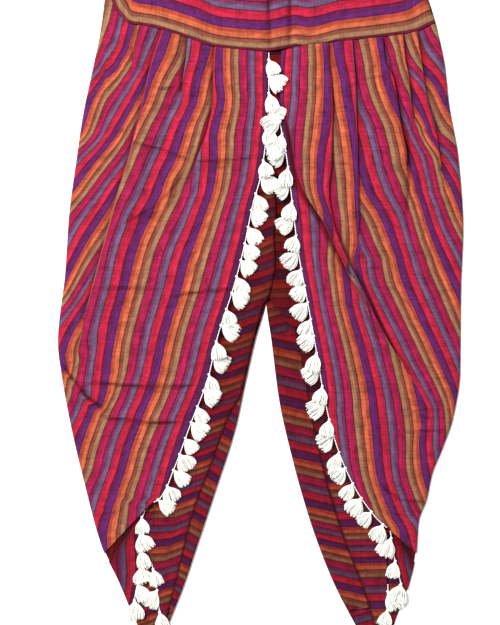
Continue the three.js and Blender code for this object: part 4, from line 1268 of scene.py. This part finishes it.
def threadLines(name, runs, spec, material):
    vertices, edges = [], []
    for run in runs:
        first = len(vertices)
        vertices += run.tolist()
        edges += [(first + i, first + i + 1) for i in range(len(run) - 1)]
    return runTree(meshObject(name, vertices, edges=edges), threadRow, "row", Pitch=spec["pitch"],
                   BeadLength=spec["beadLength"], BeadRadius=spec["beadRadius"],
                   CoreRadius=spec["core"], Material=material)


def surfaceUnder(x, down):  # the height a tassel rests on
    top = innerBuild["height"] + clothThick / 2
    for key, leg in legs.items():
        out = leg["side"] * x
        vent = float(smooth(leg["ventEdge"], "out", down))
        if down < leg["innerEnd"] and innerEdge(leg, down) - 3 < out < vent + 3:
            top = max(top, float(innerHeightAt(leg, out, down)) + clothThick / 2)
        petalEnd = petals[key]["lines"]["edge"][-1] + 2
        if down < petalEnd and out > float(smooth(leg["trimmedEdge"], "out", down)) - 1:
            top = max(top, float(smooth(leg["edgeHeight"], "z", down)) + 1.6)
    return top


def makeTrim(name, leg, out, down, z, way, lean, replaced):
    side = leg["side"]
    points = np.stack([side * out, down], axis=-1)
    steps = np.gradient(points, axis=0)
    normal = np.stack([steps[:, 1], -steps[:, 0]], axis=-1)
    normal /= np.linalg.norm(normal, axis=1, keepdims=True)
    normal *= (np.sign(normal[:, :1]) * side * way)
    points = points + normal * tassel["offEdge"]
    run = toWorld(points[:, 0], points[:, 1], z)
    lengths = np.concatenate([[0], np.cumsum(np.hypot(*np.diff(points, axis=0).T))])
    lines = threadLines(name + "Braid", [run], braid, tasselYarn)
    pitch, total = tassel["pitch"], lengths[-1]
    vertices, values = [], {"aim": [], "half": [], "reach": [], "fall": []}
    for i, spot in enumerate(np.linspace(0.4 * pitch, total - 0.25 * pitch, round(total / pitch))):
        px, pd, pz = (
            float(np.interp(spot, lengths, v)) for v in (points[:, 0], points[:, 1], z))
        reach = tassel["length"] * (1 + tassel["lengthSwing"] * math.sin(4.1 * i + side))
        half = tassel["halfWidth"] * (1 + tassel["halfSwing"] * math.sin(3.3 * i + 1.7 * side))
        swing = tassel["aimSwing"] * math.sin(2.9 * i + side + len(name))
        aim = side * way * (lean + swing)
        sine, cosine = math.sin(aim), math.cos(aim)
        under = max(surfaceUnder(px + sine * reach * far + cosine * half * aside,
                                 pd + cosine * reach * far - sine * half * aside)
                    for far in (0.5, 1) for aside in (-0.8, 0, 0.8))
        vertices.append(tuple(toWorld(px, pd, pz).tolist()))
        values["aim"].append(aim)
        for label, size in (("half", half), ("reach", reach),
                            ("fall", under + tassel["clearance"] - pz)):
            values[label].append(size / 1000)
    roots = meshObject(name, vertices)
    for label, given in values.items():
        roots.data.attributes.new(label, "FLOAT", "POINT").data.foreach_set("value", given)
    runTree(roots, tasselThreads, "threads", Threads=tassel["threads"],
            ThreadRadius=tassel["threadRadius"], Neck=tassel["neck"], Bulge=tassel["bulge"],
            HeadRadius=tassel["headRadius"], HeadLength=tassel["headLength"],
            Seed=tassel["seed"] + len(name), Material=tasselYarn)
    trim = joinMeshes(name, [roots, lines])
    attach(trim, "root")
    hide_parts(replaced)
    return trim


# Where each trim begins, how far it lies over its edge, which way it hangs and how far it leans.
trims = {
    "petal": {"from": {"left": 172, "right": 250}, "raise": -0.4, "way": -1, "lean": 0.62},
    "tip": {"raise": 0.6, "way": -1, "lean": 0.3},
    "vent": {"from": {"left": 860, "right": 890}, "raise": 1.0, "way": 1, "lean": 0.15},
}
for key, leg in legs.items():
    tip = petals[key]["tip"]
    tipEdge = tip["lines"]["edge"]
    starts = {"petal": trims["petal"]["from"][key], "tip": tipEdge[0],
              "vent": trims["vent"]["from"][key]}
    ends = {"petal": petals[key]["lines"]["edge"][-1] - 2, "tip": tipEdge[-1],
            "vent": leg["innerEnd"]}
    edges = {"petal": leg["trimmedEdge"], "tip": tip["edge"], "vent": leg["ventEdge"]}
    for place, spec in trims.items():
        down = np.arange(starts[place], ends[place], 2.0)
        level = {"petal": smooth(leg["edgeHeight"], "z", down), "tip": 0 * down + tip["height"],
                 "vent": 0 * down + innerBuild["height"]}[place]
        name = "trim" + place.capitalize() + key.capitalize()
        made[name] = makeTrim(
            name, leg, smooth(edges[place], "out", down), down, level + spec["raise"],
            spec["way"], spec["lean"], "trim_" + place + "_" + key)
print("tassels done")

# --- stitches ---

sewing = {
    "pitch": 0.0034, "beadLength": 0.0026, "beadRadius": 0.00028, "core": 0.00006, "raise": 0.1,
}
# Rows and columns of a piece's grid that are sewn, and which side of the cloth shows them.
casingRows = [1, 4, 8, 12, 15]
seams = {
    "yokeFront": {"rows": [-2], "up": 1},
    "waistFront": {"rows": casingRows, "up": 1},
    "waistBack": {"rows": casingRows, "up": -1},
    "petalLeft": {"columns": [2], "up": 1, "until": 779},
    "petalRight": {"columns": [2], "up": 1, "until": 814},
    "innerLeft": {"columns": [1, -2], "up": 1},
    "innerRight": {"columns": [1, -2], "up": 1},
    "backLeft": {"rows": [-3], "columns": [1], "up": -1},
    "backRight": {"rows": [-3], "columns": [1], "up": -1},
}
threadLook = {"colour": (64, 10, 34), "darker": 0.7, "roughness": 0.7}
sewingThread, threadTree, threadSurface = newMaterial("sewingThread")
twist = put(threadTree, "ShaderNodeTexWave", {
    "Vector": put(threadTree, "ShaderNodeTexCoord").outputs["Object"],
    "Scale": 1400.0, "Distortion": 2.0}).outputs["Fac"]
darkThread = [v * threadLook["darker"] for v in threadLook["colour"]]
feedAll(threadSurface, {
    "Base Color": twoTone(threadTree, twist, darkThread, threadLook["colour"]),
    "Roughness": threadLook["roughness"]})

for name, seam in seams.items():
    x, down, z = surfaces[name]
    runs = []
    for line in [np.s_[i, :] for i in seam.get("rows", [])] + [
            np.s_[:, i] for i in seam.get("columns", [])]:
        shown = down[line] < seam.get("until", garmentLength + 1)
        height = z[line] + seam["up"] * (clothThick / 2 + sewing["raise"])
        runs.append(toWorld(x[line][shown], down[line][shown], np.maximum(height[shown], 0.3)))
    stitch = threadLines("stitch" + name[0].upper() + name[1:], runs, sewing, sewingThread)
    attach(stitch, "root")
print("stitches done")

# --- what each piece stands for, and the cloth it was cut from ---

pieces = {
    "waistBack": {
        "node": "waistband_back", "slot": "yoke_cotton",
        "flat": (0.52, 0.034), "held": "gathered", "on": ["yokeBack"]},
    "waistFront": {
        "node": "waistband_front", "slot": "yoke_cotton",
        "flat": (0.52, 0.034), "held": "gathered", "on": ["waistBack"]},
    "yokeBack": {
        "node": "yoke_back", "slot": "yoke_cotton",
        "flat": (0.46, 0.12), "area": 0.0515, "held": "laid", "on": ["waistBack"]},
    "yokeFront": {
        "node": "yoke_front", "slot": "yoke_cotton",
        "flat": (0.46, 0.14), "area": 0.048, "held": "laid", "on": ["yokeBack"]},
    "backLeft": {
        "node": "back_left", "slot": "panel_cotton",
        "flat": (0.29, 0.83), "area": 0.165, "held": "laid", "on": ["yokeBack"]},
    "backRight": {
        "node": "back_right", "slot": "panel_cotton",
        "flat": (0.29, 0.83), "area": 0.165, "held": "laid", "on": ["yokeBack"]},
    "innerLeft": {
        "node": "inner_left", "slot": "panel_cotton",
        "flat": (0.17, 0.77), "area": 0.06, "held": "laid", "on": ["backLeft"]},
    "innerRight": {
        "node": "inner_right", "slot": "panel_cotton",
        "flat": (0.17, 0.79), "area": 0.06, "held": "laid", "on": ["backRight"]},
    "petalLeft": {
        "node": "petal_left", "slot": "petal_cotton",
        "flat": (0.42, 0.86), "area": 0.17, "held": "gathered", "on": ["innerLeft", "backLeft"]},
    "petalRight": {
        "node": "petal_right", "slot": "petal_cotton",
        "flat": (0.42, 0.86), "area": 0.17, "held": "gathered", "on": ["innerRight", "backRight"]},
}
for name, spec in pieces.items():
    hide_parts(spec["node"])

# --- floor, light and camera ---

studio = {
    "floorHalf": 6, "floorHeight": -0.0003, "floorColour": (0.93, 0.93, 0.93, 1),
    "floorRoughness": 0.95, "floorSpecular": 0.1, "world": 0.52,
    "keyPower": 150, "keySize": 0.75, "keyAt": (-1.4, 1.25, 2.3),
    "fillPower": 5, "fillSize": 1.2, "fillAt": (0.7, -0.5, 1.8),
    "lens": 70, "sensor": 36, "cameraAt": (-0.0142, -0.0333, 1.6466),
}
wide = studio["floorHalf"]
floorMesh = meshObject("floor", [(x, y, studio["floorHeight"]) for x, y in (
    (-wide, -wide), (wide, -wide), (wide, wide), (-wide, wide))], [(0, 1, 2, 3)])
floorMaterial, _, floorSurface = newMaterial("paleFloor")
feedAll(floorSurface, {
    "Base Color": studio["floorColour"], "Roughness": studio["floorRoughness"],
    "Specular IOR Level": studio["floorSpecular"]})
floorMesh.data.materials.append(floorMaterial)

world = bpy.data.worlds.new("studio")
world.use_nodes = True
feedAll(world.node_tree.nodes["Background"], {"Color": (1, 1, 1, 1), "Strength": studio["world"]})
bpy.context.scene.world = world


def areaLight(name, power, size, at):  # aimed at the middle of the garment
    light = bpy.data.lights.new(name, "AREA")
    light.energy, light.size = power, size
    lamp = linkObject(name, light)
    lamp.location = at
    tilt, turn = math.atan2(math.hypot(at[0], at[1]), at[2]), math.atan2(at[0], -at[1])
    lamp.rotation_euler = (tilt, 0, turn)


areaLight("key", studio["keyPower"], studio["keySize"], studio["keyAt"])
areaLight("fill", studio["fillPower"], studio["fillSize"], studio["fillAt"])

camera = bpy.data.cameras.new("camera")
camera.lens, camera.sensor_width = studio["lens"], studio["sensor"]
cameraObject = linkObject("camera", camera)
cameraObject.location = studio["cameraAt"]
bpy.context.scene.camera = cameraObject
bpy.context.scene.view_settings.view_transform = "Standard"
